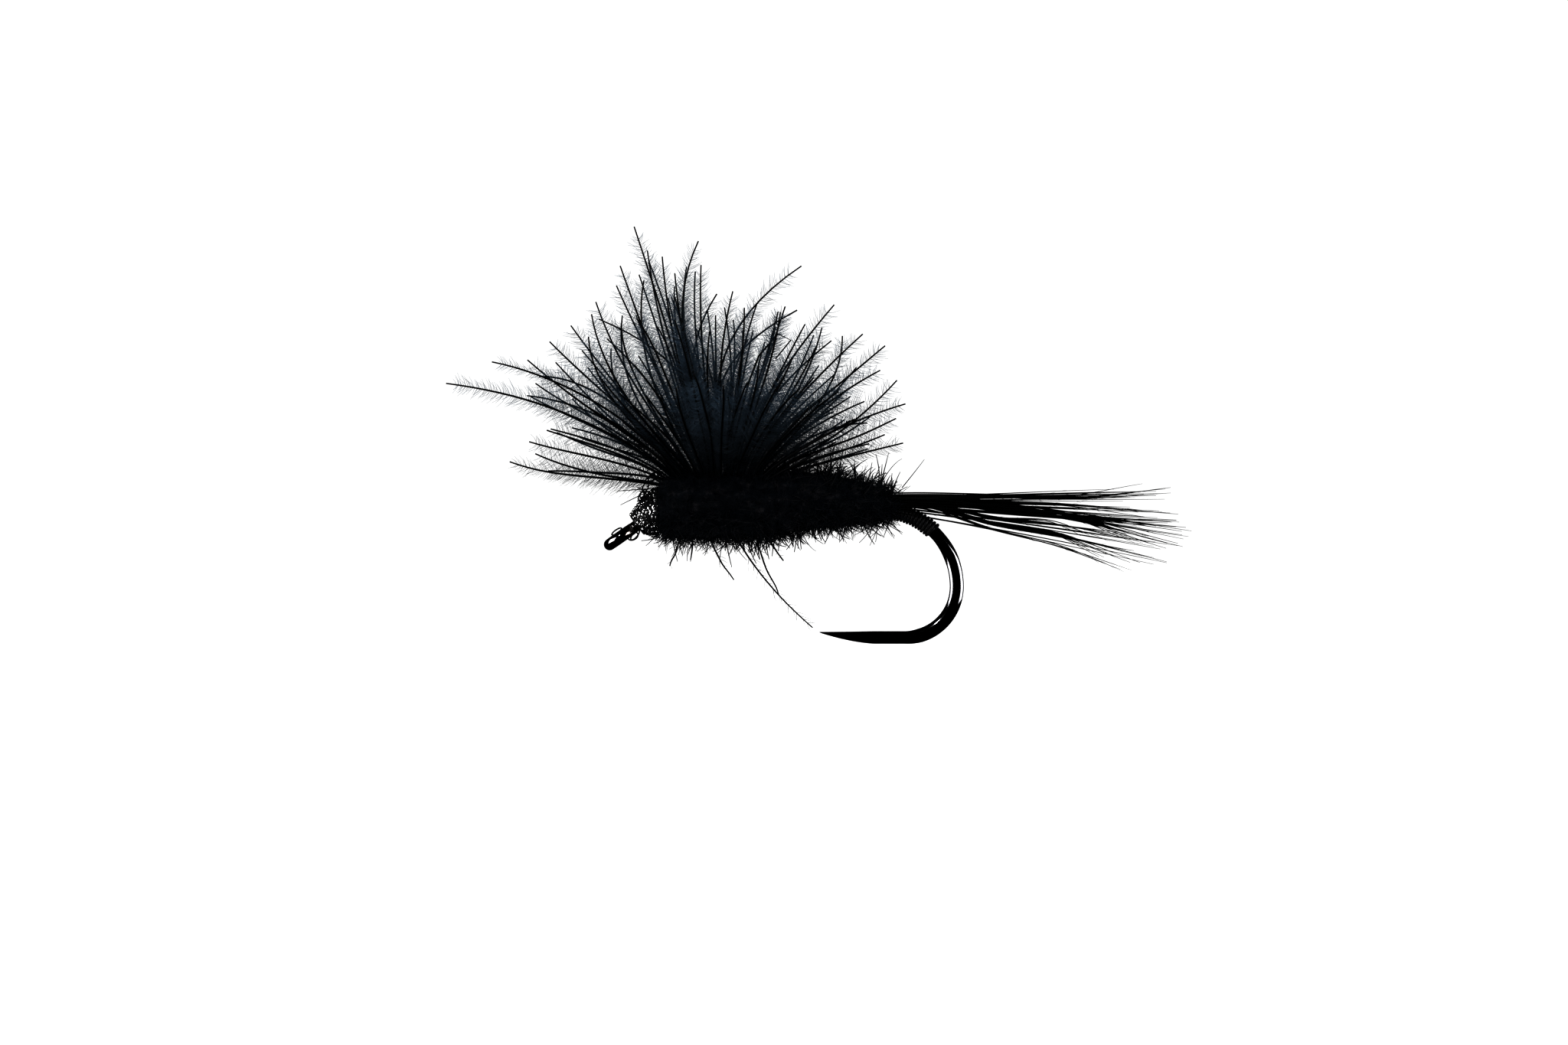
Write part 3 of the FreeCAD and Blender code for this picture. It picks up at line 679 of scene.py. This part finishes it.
class HeadFrames:
    """Frames along the head, from the whip finish back, for turns that lie within its outline."""

    def __init__(self):
        line = [(NECK.ahead(WHIP_FROM), WHIP_R), (NECK.ahead(WHIP_FROM + WHIP_LENGTH), HEAD_FIRST_R)]
        line += [(Track(x, z, heading), radius) for x, z, heading, radius in HEAD]
        self.points = np.array([t.point() for t, _ in line])
        self.headings = np.array([t.heading for t, _ in line])
        self.radii = np.array([r for _, r in line])
        steps = np.linalg.norm(np.diff(self.points, axis=0), axis=1)
        self.stations = np.concatenate([[0], np.cumsum(steps)])
        self.length = self.stations[-1]

    def __call__(self, s):
        p = np.array([np.interp(s, self.stations, self.points[:, i]) for i in range(3)])
        here = Track(p[0], p[2], np.interp(s, self.stations, self.headings))
        radius = np.interp(s, self.stations, self.radii)
        return p, here.along(), -here.inward(), radius - HEAD_TURNS_INSET


def make_rear_wraps(material):
    rng = np.random.default_rng(41)
    soup = Soup()
    frames = BendFrames()
    verts, faces = helix(frames, rng, *REAR_TURNS)
    soup.add(verts, *faces)
    count, sides = 40, 24
    a = angles_round(sides)
    rings = []
    for i in range(count):
        point, along, up, _ = frames(frames.length * i / (count - 1))
        side = np.cross(along, up)
        rings.append(point + (np.cos(a)[:, None] * up + np.sin(a)[:, None] * side) * (WIRE_R + REAR_SLEEVE))
    soup.add(np.array(rings)[:, ::-1], *skin((1, count, sides)))
    soup.piece("rear_wraps", material, "thread", "rear_thread_wraps")


def make_head(thread, cement):
    rng = np.random.default_rng(42)
    frames = HeadFrames()
    soup = Soup()
    verts, faces = helix(frames, rng, *HEAD_TURNS)
    soup.add(verts, *faces)
    soup.piece("head_turns", thread, "thread", "head_wraps", "whip_finish")

    # The varnish: a lumpy film between the turns, and beads that stand on it.
    film = Soup()
    count, sides = 70, 72
    a = angles_round(sides)
    rings = []
    for i in range(count):
        s = frames.length * i / (count - 1)
        point, along, up, radius = frames(s)
        side = np.cross(along, up)
        ripple = (0.010 * np.sin(a * 7 + s * 9) + 0.013 * np.sin(a * 17 - s * 31 + 1)
                  + 0.012 * np.sin(a * 5 + s * 45))
        rings.append(point + (np.cos(a)[:, None] * up - np.sin(a)[:, None] * side)
                     * (radius + FILM_LIFT + ripple)[:, None])
    film.add(np.array(rings), *skin((1, count, sides)))
    for _ in range(BEADS):
        s = frames.length * (0.05 + 0.90 * rng.random())
        angle = rng.uniform(0, TAU)
        point, along, up, radius = frames(s)
        side = np.cross(along, up)
        out = up * math.cos(angle) + side * math.sin(angle)
        size = rng.uniform(*BEAD_RADII)
        add_bead(film, point + out * (radius + BEAD_LIFT + size * 0.2), size)
    film.piece("head_varnish", cement, "cement", "head_cement")


def add_bead(soup, centre, radius):
    """A small round drop."""
    rows, sides = 7, 10
    a = angles_round(sides)
    rings = []
    for i in range(rows):
        tilt = math.pi * (i + 0.5) / rows
        ring = np.stack([np.cos(a) * math.sin(tilt), np.sin(a) * math.sin(tilt),
                         np.full(sides, -math.cos(tilt))], 1)
        rings.append(centre + ring * radius)
    soup.add(np.array(rings), *skin((1, rows, sides)))


# The tail.

def tail_poles():
    """The CAD's fibres: the three poles of each, and the share of its length that it keeps."""
    chance = random.Random(12)
    low = BASE_R + TAIL_PITCH / 2
    z_low = low * math.cos(math.radians(TAIL_LAYERS[0][1]))
    z_high = low + TAIL_PITCH * (len(TAIL_LAYERS) - 1)
    period, tightness = TAIL_CLUMP
    fibres = []
    for layer, (count, half_angle) in enumerate(TAIL_LAYERS):
        rho = low + TAIL_PITCH * layer
        for i in range(count):
            angle = math.radians(half_angle * (2 * i / (count - 1) - 1))
            y, z = rho * math.sin(angle), rho * math.cos(angle)
            end_z = TAIL_LOW_Z + (TAIL_HIGH_Z - TAIL_LOW_Z) * (z - z_low) / (z_high - z_low)
            end_z += tightness * math.sin(TAU * end_z / period)
            reach = 1 - 0.025 * abs(end_z + 0.35) - chance.uniform(0.01, 0.11)
            fibres.append(((TAIL_START_X, y, SHANK_Z + z), (TAIL_TURN_X, y, SHANK_Z + z),
                           (TAIL_END_X, y * TAIL_SPREAD_Y, end_z), reach))
    return fibres


def tail_locks(rng):
    """Fibres that lie in locks: their lines (n, TAIL_RINGS, 3) from the tie-in to the tips."""
    lines = []
    t = np.linspace(0, 1, TAIL_RINGS)
    for count, z_near, z_mid, thick, end_x, end_z in TAIL_LOCKS:
        for _ in range(count):
            side, lift = rng.normal(0, 1, 2)
            last_x = rng.uniform(*end_x)
            last_z = rng.uniform(*end_z)
            start_z = SHANK_Z + LOCK_ROOT_Z + 0.30 * (z_near - 0.75) + LOCK_ROOT_NOISE * lift
            xs = (TAIL_START_X, TAIL_TURN_X, *LOCK_XS, max(last_x, LOCK_LAST_X))
            zs = (start_z, start_z + 0.02, z_near + 0.5 * thick * lift, z_mid + 0.42 * thick * lift, last_z)
            x = TAIL_START_X + (last_x - TAIL_START_X) * t
            z = smooth_through(xs, zs, x)
            y = side * (LOCK_SPREAD_Y[0] + LOCK_SPREAD_Y[1] * (x - TAIL_START_X))
            lines.append(np.stack([x, y, z], 1))
    return np.array(lines)


def smooth_through(xs, zs, x):
    """A cubic through points with the slopes of their neighbours."""
    xs, zs = np.array(xs), np.array(zs)
    slopes = np.gradient(zs, xs)
    i = np.clip(np.searchsorted(xs, x) - 1, 0, len(xs) - 2)
    span = xs[i + 1] - xs[i]
    u = (x - xs[i]) / span
    return ((2 * u ** 3 - 3 * u ** 2 + 1) * zs[i] + (u ** 3 - 2 * u ** 2 + u) * span * slopes[i]
            + (3 * u ** 2 - 2 * u ** 3) * zs[i + 1] + (u ** 3 - u ** 2) * span * slopes[i + 1])


def make_tail(material):
    rng = np.random.default_rng(51)
    fibres = tail_poles()
    poles = [f[:3] for f in fibres]
    reach = np.array([f[3] for f in fibres])
    k = TAIL_RINGS
    t = np.linspace(0, 1, k)[None, :] * reach[:, None]
    rows = np.repeat(np.arange(len(poles)), k)
    lines = sample(bezier_points(poles, 60), rows, t.ravel())[0].reshape(-1, k, 3)
    lines = wave(np.vstack([lines, tail_locks(rng)]), rng, 0.035, (0.4, 0.9), 0.2)
    soup = Soup()
    thickness = rng.uniform(*TAIL_THICKNESS, (len(lines), 1))
    radii = taper(len(lines), k, 1, TAIL_TIP_SHARE, TAIL_TAPER) * thickness
    add_tubes(soup, lines, TAIL_FIBRE_R * radii, 6)
    add_barbules(soup, lines, rng, *TAIL_BARBULES)
    soup.piece("tail_hackle", material, "hackle", "tail_fibres")


def add_barbules(soup, lines, rng, spacing, span, lengths, angles, radii, spread_deg, profile=None, lean=0.0):
    """Two rows of fine hairs along each line, that lean towards its tip, and by lean towards +Y."""
    n = len(lines)
    line_lengths = np.linalg.norm(np.diff(lines, axis=1), axis=2).sum(1) * (span[1] - span[0])
    counts = np.maximum(1, (line_lengths / spacing).astype(int))
    turn_of_line = rng.normal(0, math.radians(spread_deg), n)
    for side in (-1, 1):
        rows = np.repeat(np.arange(n), counts)
        total = len(rows)
        order = np.arange(total) - np.repeat(np.cumsum(counts) - counts, counts)
        share = (order + rng.random(total)) / counts[rows]
        t = span[0] + (span[1] - span[0]) * share
        point, along = sample(lines, rows, t)
        level = unit(np.cross(along, np.array([0.0, 1.0, 0.01])))
        upright = np.cross(along, level)
        turn = (turn_of_line[rows] + rng.normal(0, 0.18, total))[:, None]
        vane = level * np.cos(turn) + upright * np.sin(turn)
        angle = np.radians(rng.uniform(*angles, total))[:, None]
        length = rng.uniform(*lengths, total)[:, None]
        if profile is not None:
            length = length * profile(t)[:, None]
        out = along * np.cos(angle) + vane * side * np.sin(angle) + np.array([0, lean, 0])
        stray = rng.normal(0, 0.10, (total, 3))
        poles = np.stack([point, point + (out + stray * 0.3) * length * 0.5,
                          point + (out * 0.86 + along * 0.26 + stray) * length], 1)
        hairs = bezier_points(poles, 3)
        add_tubes(soup, hairs, taper(total, 3, *radii), 3)


# The wing.

def barb_poles(root_x, stem_y, tip):
    """The four poles of a barb: its root in the stem, the fan's waist, its arch and its tip."""
    share = (root_x - BARB_ROOTS_X[0]) / BARB_ROOTS_SPAN
    waist_from, waist_to, waist_z = FAN_WAIST
    root = (root_x, stem_y, STEM_Z + STEM_R * 0.5)
    waist = (waist_from + (waist_to - waist_from) * share, stem_y * WAIST_SPREAD_Y, waist_z)
    arch = [w + (t - w) * part for w, t, part in zip(waist, tip, BARB_ARCH)]
    arch[2] += BARB_ARCH_LIFT
    return (root, waist, arch, tip)


def middle_plume(stem_y, seed, on_outline):
    """Barbs whose tips are on the fan's outline, or within it between the outline's tips."""
    chance = random.Random(seed)
    count = len(FAN_OUTLINE)
    barbs = []
    for i in range(count):
        x, z = FAN_OUTLINE[i]
        if not on_outline:
            nx, nz = FAN_OUTLINE[min(i + 1, count - 1)]
            pull = chance.uniform(*INNER_PULL)
            x = FAN_CENTRE[0] + ((x + nx) / 2 - FAN_CENTRE[0]) * pull
            z = FAN_CENTRE[1] + ((z + nz) / 2 - FAN_CENTRE[1]) * pull
        side = 1 if stem_y > 0 else -1
        tip = (x, side * chance.uniform(*TIP_DEPTHS), z)
        root_x = BARB_ROOTS_X[0] + BARB_ROOTS_SPAN * (i + 0.5 * (not on_outline)) / count
        barbs.append(barb_poles(root_x, stem_y, tip))
    return barbs


def side_plume(stem_y, seed):
    """Barbs that lean out to the stem's side, in two tiers."""
    chance = random.Random(seed)
    count = len(FAN_OUTLINE)
    side = 1 if stem_y > 0 else -1
    barbs = []
    for i in range(count):
        share = (i + 0.5) / count
        around = math.radians(SIDE_FAN_DEG[0] + SIDE_FAN_DEG[1] * share)
        lean = math.radians(SIDE_LEAN_DEG[i % 2] + chance.uniform(-SIDE_LEAN_NOISE_DEG, SIDE_LEAN_NOISE_DEG))
        reach = chance.uniform(*SIDE_REACH)
        tip = (FAN_CENTRE[0] - reach * math.cos(around) * math.cos(lean * 0.6),
               stem_y + side * reach * math.sin(lean) * (0.45 + 0.55 * math.sin(around)),
               FAN_CENTRE[1] + 0.5 + reach * math.sin(around) * math.cos(lean))
        root_x = BARB_ROOTS_X[0] + BARB_ROOTS_SPAN * share
        barbs.append(barb_poles(root_x, stem_y, tip))
    return barbs


def between_barbs(barbs, rng, count):
    """More barbs in the middle of a plume: each lies between two neighbours and stops short of them."""
    poles = np.array(barbs)
    i = rng.integers(*MIDDLE_BARBS, count)
    w = rng.uniform(0.25, 0.75, (count, 1, 1))
    mixed = poles[i] * (1 - w) + poles[i + 1] * w
    short = rng.uniform(*MIDDLE_REACH, (count, 1))
    mixed[:, 3] = mixed[:, 1] + (mixed[:, 3] - mixed[:, 1]) * short
    mixed[:, 2] = mixed[:, 1] + (mixed[:, 2] - mixed[:, 1]) * short
    return mixed


def bowed(poles, bows, rng):
    """Gives the barbs their own bends. The low ones leave the waist lower down."""
    poles = np.array(poles)
    low = np.clip((LOW_BARB_Z - poles[:, 3, 2]) / 2, 0, 1)
    poles[:, 1, 2] -= LOW_BARB_DROP * low
    poles[:, 2] = poles[:, 1] + (poles[:, 3] - poles[:, 1]) * np.array(BOW_SHARES)
    poles[:len(bows), 2, 0] += [dx for dx, _ in bows]
    poles[:len(bows), 2, 2] += [dz for _, dz in bows]
    poles[:, 2] += rng.normal(0, BOW_NOISE, (len(poles), 3))
    poles[len(bows):, 2] += rng.normal(0, MORE_BOW_NOISE, (len(poles) - len(bows), 3))
    return poles


def down_profile(t):
    """How long the barbules are at shares t of a barb: longest below its middle, and short near the root."""
    return np.clip(3 * t - 0.45, 0.15, 1) * (0.40 + 0.70 * (1 - t) ** 0.7)


def make_plume(name, stem_y, barbs, bows, more_tips, seed, down_lengths, spacing, shaft, down):
    """One plume: its stem and barbs are one piece, and their barbules another."""
    rng = np.random.default_rng(seed)
    side = 1 if stem_y > 0 else -1
    more = []
    for x, z, _, _ in more_tips:
        share = np.clip((x - FAN_OUTLINE[0][0]) / (FAN_OUTLINE[-1][0] - FAN_OUTLINE[0][0]), 0, 1)
        root_x = BARB_ROOTS_X[0] + BARB_ROOTS_SPAN * share
        more.append(barb_poles(root_x, stem_y, (x, side * rng.uniform(*MORE_TIP_DEPTHS), z)))
    bows = list(bows) + [tip[2:] for tip in more_tips]
    poles = bowed(list(barbs) + more + list(between_barbs(barbs, rng, MORE_BARBS)), bows, rng)
    k = SHAFT_RINGS
    lines = wave(bezier_points(poles, k), rng, 0.07, (0.35, 0.8), 0.25)
    off_mark = (poles[:, 3] - lines[:, -1])[:, None, :]
    lines = lines + off_mark * np.linspace(0, 1, k)[None, :, None] ** 2
    shafts = Soup()
    add_tubes(shafts, lines, taper(len(lines), k, *SHAFT_RADII, SHAFT_TAPER), 6)
    if name == "wing_plume_near":
        add_tubes(shafts, np.array([KINKED_BARB]), taper(1, len(KINKED_BARB), *SHAFT_RADII, 2.0), 6)
    stem = np.linspace(*STEM_X, 12)
    line = np.stack([stem, np.full(12, stem_y), np.full(12, STEM_Z)], 1)[None]
    add_tubes(shafts, line, np.full((1, 12), STEM_R), 10)
    shafts.piece(f"{name}_barbs", shaft, "plume", name)
    if not more_tips:
        lines = lines[poles[:, 3, 2] > SIDE_DOWN_Z]
    barbules = Soup()
    add_barbules(barbules, lines, rng, spacing, DOWN_SPAN, down_lengths, *DOWN_SHAPE, down_profile,
                 -DOWN_LEAN * side)
    barbules.piece(f"{name}_barbules", down, "plume")


# The body.

def body_at(stations, x):
    """The height of the centre and the radius at x, straight from the stations."""
    for (x0, z0, r0), (x1, z1, r1) in zip(stations, stations[1:]):
        if x <= x1:
            share = (x - x0) / (x1 - x0)
            return z0 + (z1 - z0) * share, r0 + (r1 - r0) * share
    return stations[-1][1:]


def smooth_body(x):
    """The height of the centre and the radius at each x, with the corners of the outline eased."""
    xs, zs, rs = (np.array(c) for c in zip(*BODY))
    offsets = np.linspace(-BODY_EASING, BODY_EASING, 7)
    z = np.mean([np.interp(x + o, xs, zs) for o in offsets], axis=0)
    r = np.mean([np.interp(x + o, xs, rs) for o in offsets], axis=0)
    return z, r


def lumps(x, a, seed):
    """Smooth random relief over length and angle, about -1 to 1."""
    rng = np.random.default_rng(seed)
    total = np.zeros(np.broadcast(x, a).shape)
    for _ in range(26):
        waves = rng.integers(1, 15)
        rate = rng.uniform(-14, 14)
        total = total + np.sin(waves * a + rate * x + rng.uniform(0, TAU)) * rng.uniform(0.4, 1.0)
    return total / 4.2


def add_core(soup, x0, x1, seed, front_round, back_round):
    """The matted middle of the dubbing."""
    rings, sides = 150, 110
    x = np.linspace(x0, x1, rings)
    z, r = smooth_body(x)
    ends = np.minimum(1, (x - x0) / front_round) * np.minimum(1, (x1 - x) / back_round)
    r = r * np.sqrt(np.clip(1 - (1 - ends) ** 2, 0.0004, 1)) - BODY_INSET
    a = angles_round(sides)
    relief = lumps(x[:, None], a[None, :], seed)
    radius = np.maximum(r[:, None] * (1 + BODY_RELIEF * relief), 0.02)
    xs = np.broadcast_to(x[:, None], radius.shape)
    verts = np.stack([xs, -radius * np.sin(a), z[:, None] + radius * np.cos(a)], 2)
    soup.add(verts, *skin((1, rings, sides)))


def add_fuzz(soup, rng, x0, x1, count, lengths, lift, radii, angles, back=0.0):
    """Curled hairs that start on the dubbing and stand off it."""
    x = rng.uniform(x0, x1, count)
    a = np.radians(rng.uniform(*angles, count))
    z, r = smooth_body(x)
    out = np.stack([np.zeros(count), np.sin(a), np.cos(a)], 1)
    round_ = np.stack([np.zeros(count), np.cos(a), -np.sin(a)], 1)
    root = np.stack([x, np.zeros(count), z], 1) + out * (r - FUR_ROOT_DEPTH)[:, None]
    heading = rng.uniform(0, TAU, count)
    flat = np.cos(heading)[:, None] * np.array([1.0, 0, 0]) + np.sin(heading)[:, None] * round_
    flat = flat + np.array([back, 0, 0])
    rise = rng.uniform(*lift, count)[:, None]
    length = rng.uniform(*lengths, count)[:, None]
    first = unit(flat * (1 - rise) + out * rise)
    curl = rng.normal(0, 0.6, (count, 3))
    poles = np.stack([root, root + first * length * 0.4, root + first * length * 0.75 + curl * length * 0.35,
                      root + first * length + (curl - out * 0.25) * length * 0.6], 1)
    lines = bezier_points(poles, 6)
    add_tubes(soup, lines, taper(count, 6, *radii), 3)


def guard_hairs(stations, count, seed, angles, lengths):
    """Hairs that stand out of the body and lean back: the three poles of each."""
    chance = random.Random(seed)
    x0, x1 = stations[0][0] + 0.35, stations[-1][0] - 0.35
    hairs = []
    for i in range(count):
        x = x0 + (x1 - x0) * (i + chance.random()) / count
        angle = math.radians(angles[0] + (angles[1] - angles[0]) * chance.random())
        length = chance.uniform(*lengths)
        slant = chance.uniform(0.35, 1.25)
        centre_z, radius = body_at(stations, x)
        out = (math.sin(angle), math.cos(angle))
        start = radius - ROOT_DEPTH
        rise = length * math.cos(slant)
        back = length * math.sin(slant)
        reach = ((0, start), (back * 0.35, start + rise * 0.75), (back, start + rise))
        hairs.append([(x + b, out[0] * h, centre_z + out[1] * h) for b, h in reach])
    return hairs


def make_body(dubbing, hair):
    """The matted cores, the fur on them and the hairs that stand out of it."""
    for name, *shape in CORES:
        core = Soup()
        add_core(core, *shape)
        core.piece(f"{name}_mat", dubbing, "dubbing", f"{name}_dubbing")
    rng = np.random.default_rng(63)
    for name, x0, x1, count in FUR:
        fuzz = Soup()
        for part, *layer in FUR_LAYERS:
            add_fuzz(fuzz, rng, x0, x1, count // part, *layer)
        fuzz.piece(f"{name}_fuzz", dubbing, "dubbing")
    for name, stations, count, seed, angles, lengths, extra in GUARD_HAIRS:
        soup = Soup()
        poles = guard_hairs(stations, count, seed, angles, lengths)
        lines = wave(bezier_points(poles, 9), rng, 0.03, (0.3, 0.7))
        add_tubes(soup, lines, taper(len(lines), 9, *GUARD_HAIR_RADII), 5)
        poles = guard_hairs(stations, extra, seed + 50, angles, SHORT_HAIR_LENGTHS)
        lines = wave(bezier_points(poles, 7), rng, 0.03, (0.3, 0.7))
        add_tubes(soup, lines, taper(len(lines), 7, *SHORT_HAIR_RADII), 5)
        if name == "abdomen":
            add_fuzz(soup, rng, *BACK_SPIKES)
        add_fuzz(soup, rng, stations[0][0] + 0.2, stations[-1][0], *BELLY_HAIRS)
        add_fuzz(soup, rng, *WAIST_HAIRS)
        soup.piece(f"{name}_hairs", hair, "guard_hair", f"{name}_guard_hairs")


def make_loose(shaft, down, hair):
    """The barbs that hang below the body, and the cut ends, single hairs and loops of thread."""
    rng = np.random.default_rng(71)
    poles = []
    for root_x, angle, x, y, z in STRAYS:
        centre_z, radius = body_at(THORAX, root_x)
        a = math.radians(angle)
        start = radius - ROOT_DEPTH
        root = (root_x, start * math.sin(a), centre_z + start * math.cos(a))
        turn = (root_x + (x - root_x) * 0.25, root[1] * 1.2 + y * 0.2, root[2] + (z - root[2]) * 0.45)
        poles.append((root, turn, (x, y, z)))
    lines = wave(bezier_points(poles, 22), rng, 0.06, (0.5, 1.1), 0.1)
    soup = Soup()
    add_tubes(soup, lines, taper(len(lines), 22, *STRAY_RADII, STRAY_TAPER), 6)
    soup.piece("stray_shafts", shaft, "plume", "stray_barbs")
    soup = Soup()
    add_barbules(soup, lines[:1], rng, *LONG_STRAY_BARBULES)
    add_barbules(soup, lines[1:], rng, *STRAY_BARBULES)
    soup.piece("stray_barbules", down, "plume")

    chance = random.Random(7)
    poles = []
    for i in range(CUT_ENDS):
        x = HEAD_END_X - 0.30 + 0.22 * i / (CUT_ENDS - 1)
        angle = math.radians(-95 + 190 * (i * 3 % CUT_ENDS) / (CUT_ENDS - 1))
        length = chance.uniform(0.34, 0.62)
        y, z = math.sin(angle), math.cos(angle)
        root = (x, 0.50 * y, SHANK_Z + 0.50 * z)
        out = 0.80 + length * 0.25
        tip = (x - length * 1.25, out * y, SHANK_Z - 0.10 + out * z)
        bow = ((root[0] + tip[0]) / 2 + 0.06, (root[1] + tip[1]) / 2, (root[2] + tip[2]) / 2)
        poles.append((root, bow, tip))
    lines = bezier_points(poles, 8)
    soup = Soup()
    add_tubes(soup, lines, taper(len(lines), 8, *CUT_END_RADII), 6)
    for *hair_poles, radius in CLEAR_HAIRS:
        lines = bezier_points([hair_poles], 14)
        add_tubes(soup, lines, taper(1, 14, radius, radius * 0.45, 1.5), 6)
    around = np.linspace(0, TAU, LOOP_POINTS)
    for centre, half_x, half_z, tilt in THREAD_LOOPS:
        ring = np.stack([half_x * np.cos(around), 0.3 * half_x * np.sin(2 * around),
                         half_z * np.sin(around)], 1)
        c, t = math.cos(math.radians(tilt)), math.sin(math.radians(tilt))
        ring = ring @ np.array([[c, 0, t], [0, 1, 0], [-t, 0, c]])
        add_tubes(soup, (ring + np.array(centre))[None], np.full((1, LOOP_POINTS), LOOP_THREAD_R), 6)
    soup.piece("head_fibre_ends", hair, "guard_hair", "head_cut_ends")


# The stage. Its sizes are in metres.

FLOOR_HALF_SIZE = 3.0
FLOOR_Z = -0.030
WORLD_STRENGTH = 1.05
FLOOR_SUN = 4.8
FLOOR_SUN_DEG = 60
LIGHT_DISTANCE = 0.5
LIGHT_AIM = (VIEW_CENTRE[0] * MM, 0, 2 * MM)

# The rectangles of light: azimuth, elevation, width, height and radiance. Azimuth 0 is beside the camera, and
# 90 is to the right.
SOFT_BOXES = (
    ("left_box", -69, 0, 0.50, 0.35, 5.5),
    ("right_box", 69, 2, 0.50, 0.30, 5.5),
    ("spark", -24, 26, 0.03, 0.03, 110.0),
)


def make_stage():
    """A pale floor, a white world that only the camera sees, the boxes and a sun for the floor."""
    mesh = bpy.data.meshes.new("floor")
    corners = [(x * FLOOR_HALF_SIZE, y * FLOOR_HALF_SIZE, 0) for x, y in ((-1, -1), (1, -1), (1, 1), (-1, 1))]
    mesh.from_pydata(corners, [], [(0, 1, 2, 3)])
    s = Shader("pale_floor", Roughness=0.9)
    s.colour(s.noise(40.0, 2), [(0.3, (0.86, 0.86, 0.86)), (0.7, (0.90, 0.90, 0.90))])
    mesh.materials.append(s.material)
    floor = add_object("floor", mesh)
    floor.location = (0, 0, FLOOR_Z)
    floor.visible_glossy = False

    world = bpy.data.worlds.new("studio")
    world.use_nodes = True
    background = world.node_tree.nodes["Background"]
    background.inputs["Color"].default_value = (1, 1, 1, 1)
    background.inputs["Strength"].default_value = WORLD_STRENGTH
    SCENE.world = world
    world.cycles_visibility.diffuse = False
    world.cycles_visibility.glossy = False

    for name, azimuth, elevation, width, height, radiance in SOFT_BOXES:
        a, e = math.radians(azimuth), math.radians(elevation)
        data = bpy.data.lights.new(name, "AREA")
        data.shape = "RECTANGLE"
        data.size, data.size_y = width, height
        data.energy = radiance * math.pi * width * height
        aim = add_object(name + "_aim", None)
        aim.location = LIGHT_AIM
        light = add_object(name, data)
        towards = np.array([math.sin(a) * math.cos(e), -math.cos(a) * math.cos(e), math.sin(e)])
        light.location = towards * LIGHT_DISTANCE + np.array(LIGHT_AIM)
        track = light.constraints.new("TRACK_TO")
        track.target = aim
        track.track_axis, track.up_axis = "TRACK_NEGATIVE_Z", "UP_Y"
        light.visible_camera = False

    sun_data = bpy.data.lights.new("floor_light", "SUN")
    sun_data.energy = FLOOR_SUN
    sun_data.angle = math.radians(FLOOR_SUN_DEG)
    add_object("floor_light", sun_data).visible_glossy = False


MATERIALS = {key: make_material(key) for key in LOOKS}
make_hook(MATERIALS["hook"])
make_rear_wraps(MATERIALS["thread"])
make_head(MATERIALS["thread"], MATERIALS["cement"])
make_tail(MATERIALS["hackle"])

# The plumes: name, barbs, their bows, more tips, seed, and the barbules' lengths and spacing.
PLUMES = (
    ("wing_plume_near", middle_plume(STEMS_Y[0], 21, True), FAN_BOWS, NEAR_TIPS, 81, (0.45, 0.95), 0.042),
    ("wing_plume_far", middle_plume(STEMS_Y[1], 22, False), FAN_BOWS, FAR_TIPS, 82, (0.55, 1.10), 0.042),
    ("wing_plume_near_side", side_plume(STEMS_Y[2], 23), (), (), 83, (0.55, 1.05), 0.034),
    ("wing_plume_far_side", side_plume(STEMS_Y[3], 24), (), (), 84, (0.55, 1.05), 0.034),
)
for plume_y, (plume_name, *plume) in zip(STEMS_Y, PLUMES):
    make_plume(plume_name, plume_y, *plume, MATERIALS["shaft"], MATERIALS["down"])
make_body(MATERIALS["dubbing"], MATERIALS["guard_hair"])
make_loose(MATERIALS["shaft"], MATERIALS["down"], MATERIALS["guard_hair"])
for inner in ("thread_base", "tail_tie_in_wraps", "wing_tie_in_wraps", "thread_dam"):
    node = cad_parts[inner]
    node.data.materials.clear()
    node.data.materials.append(MATERIALS["thread"])
make_stage()
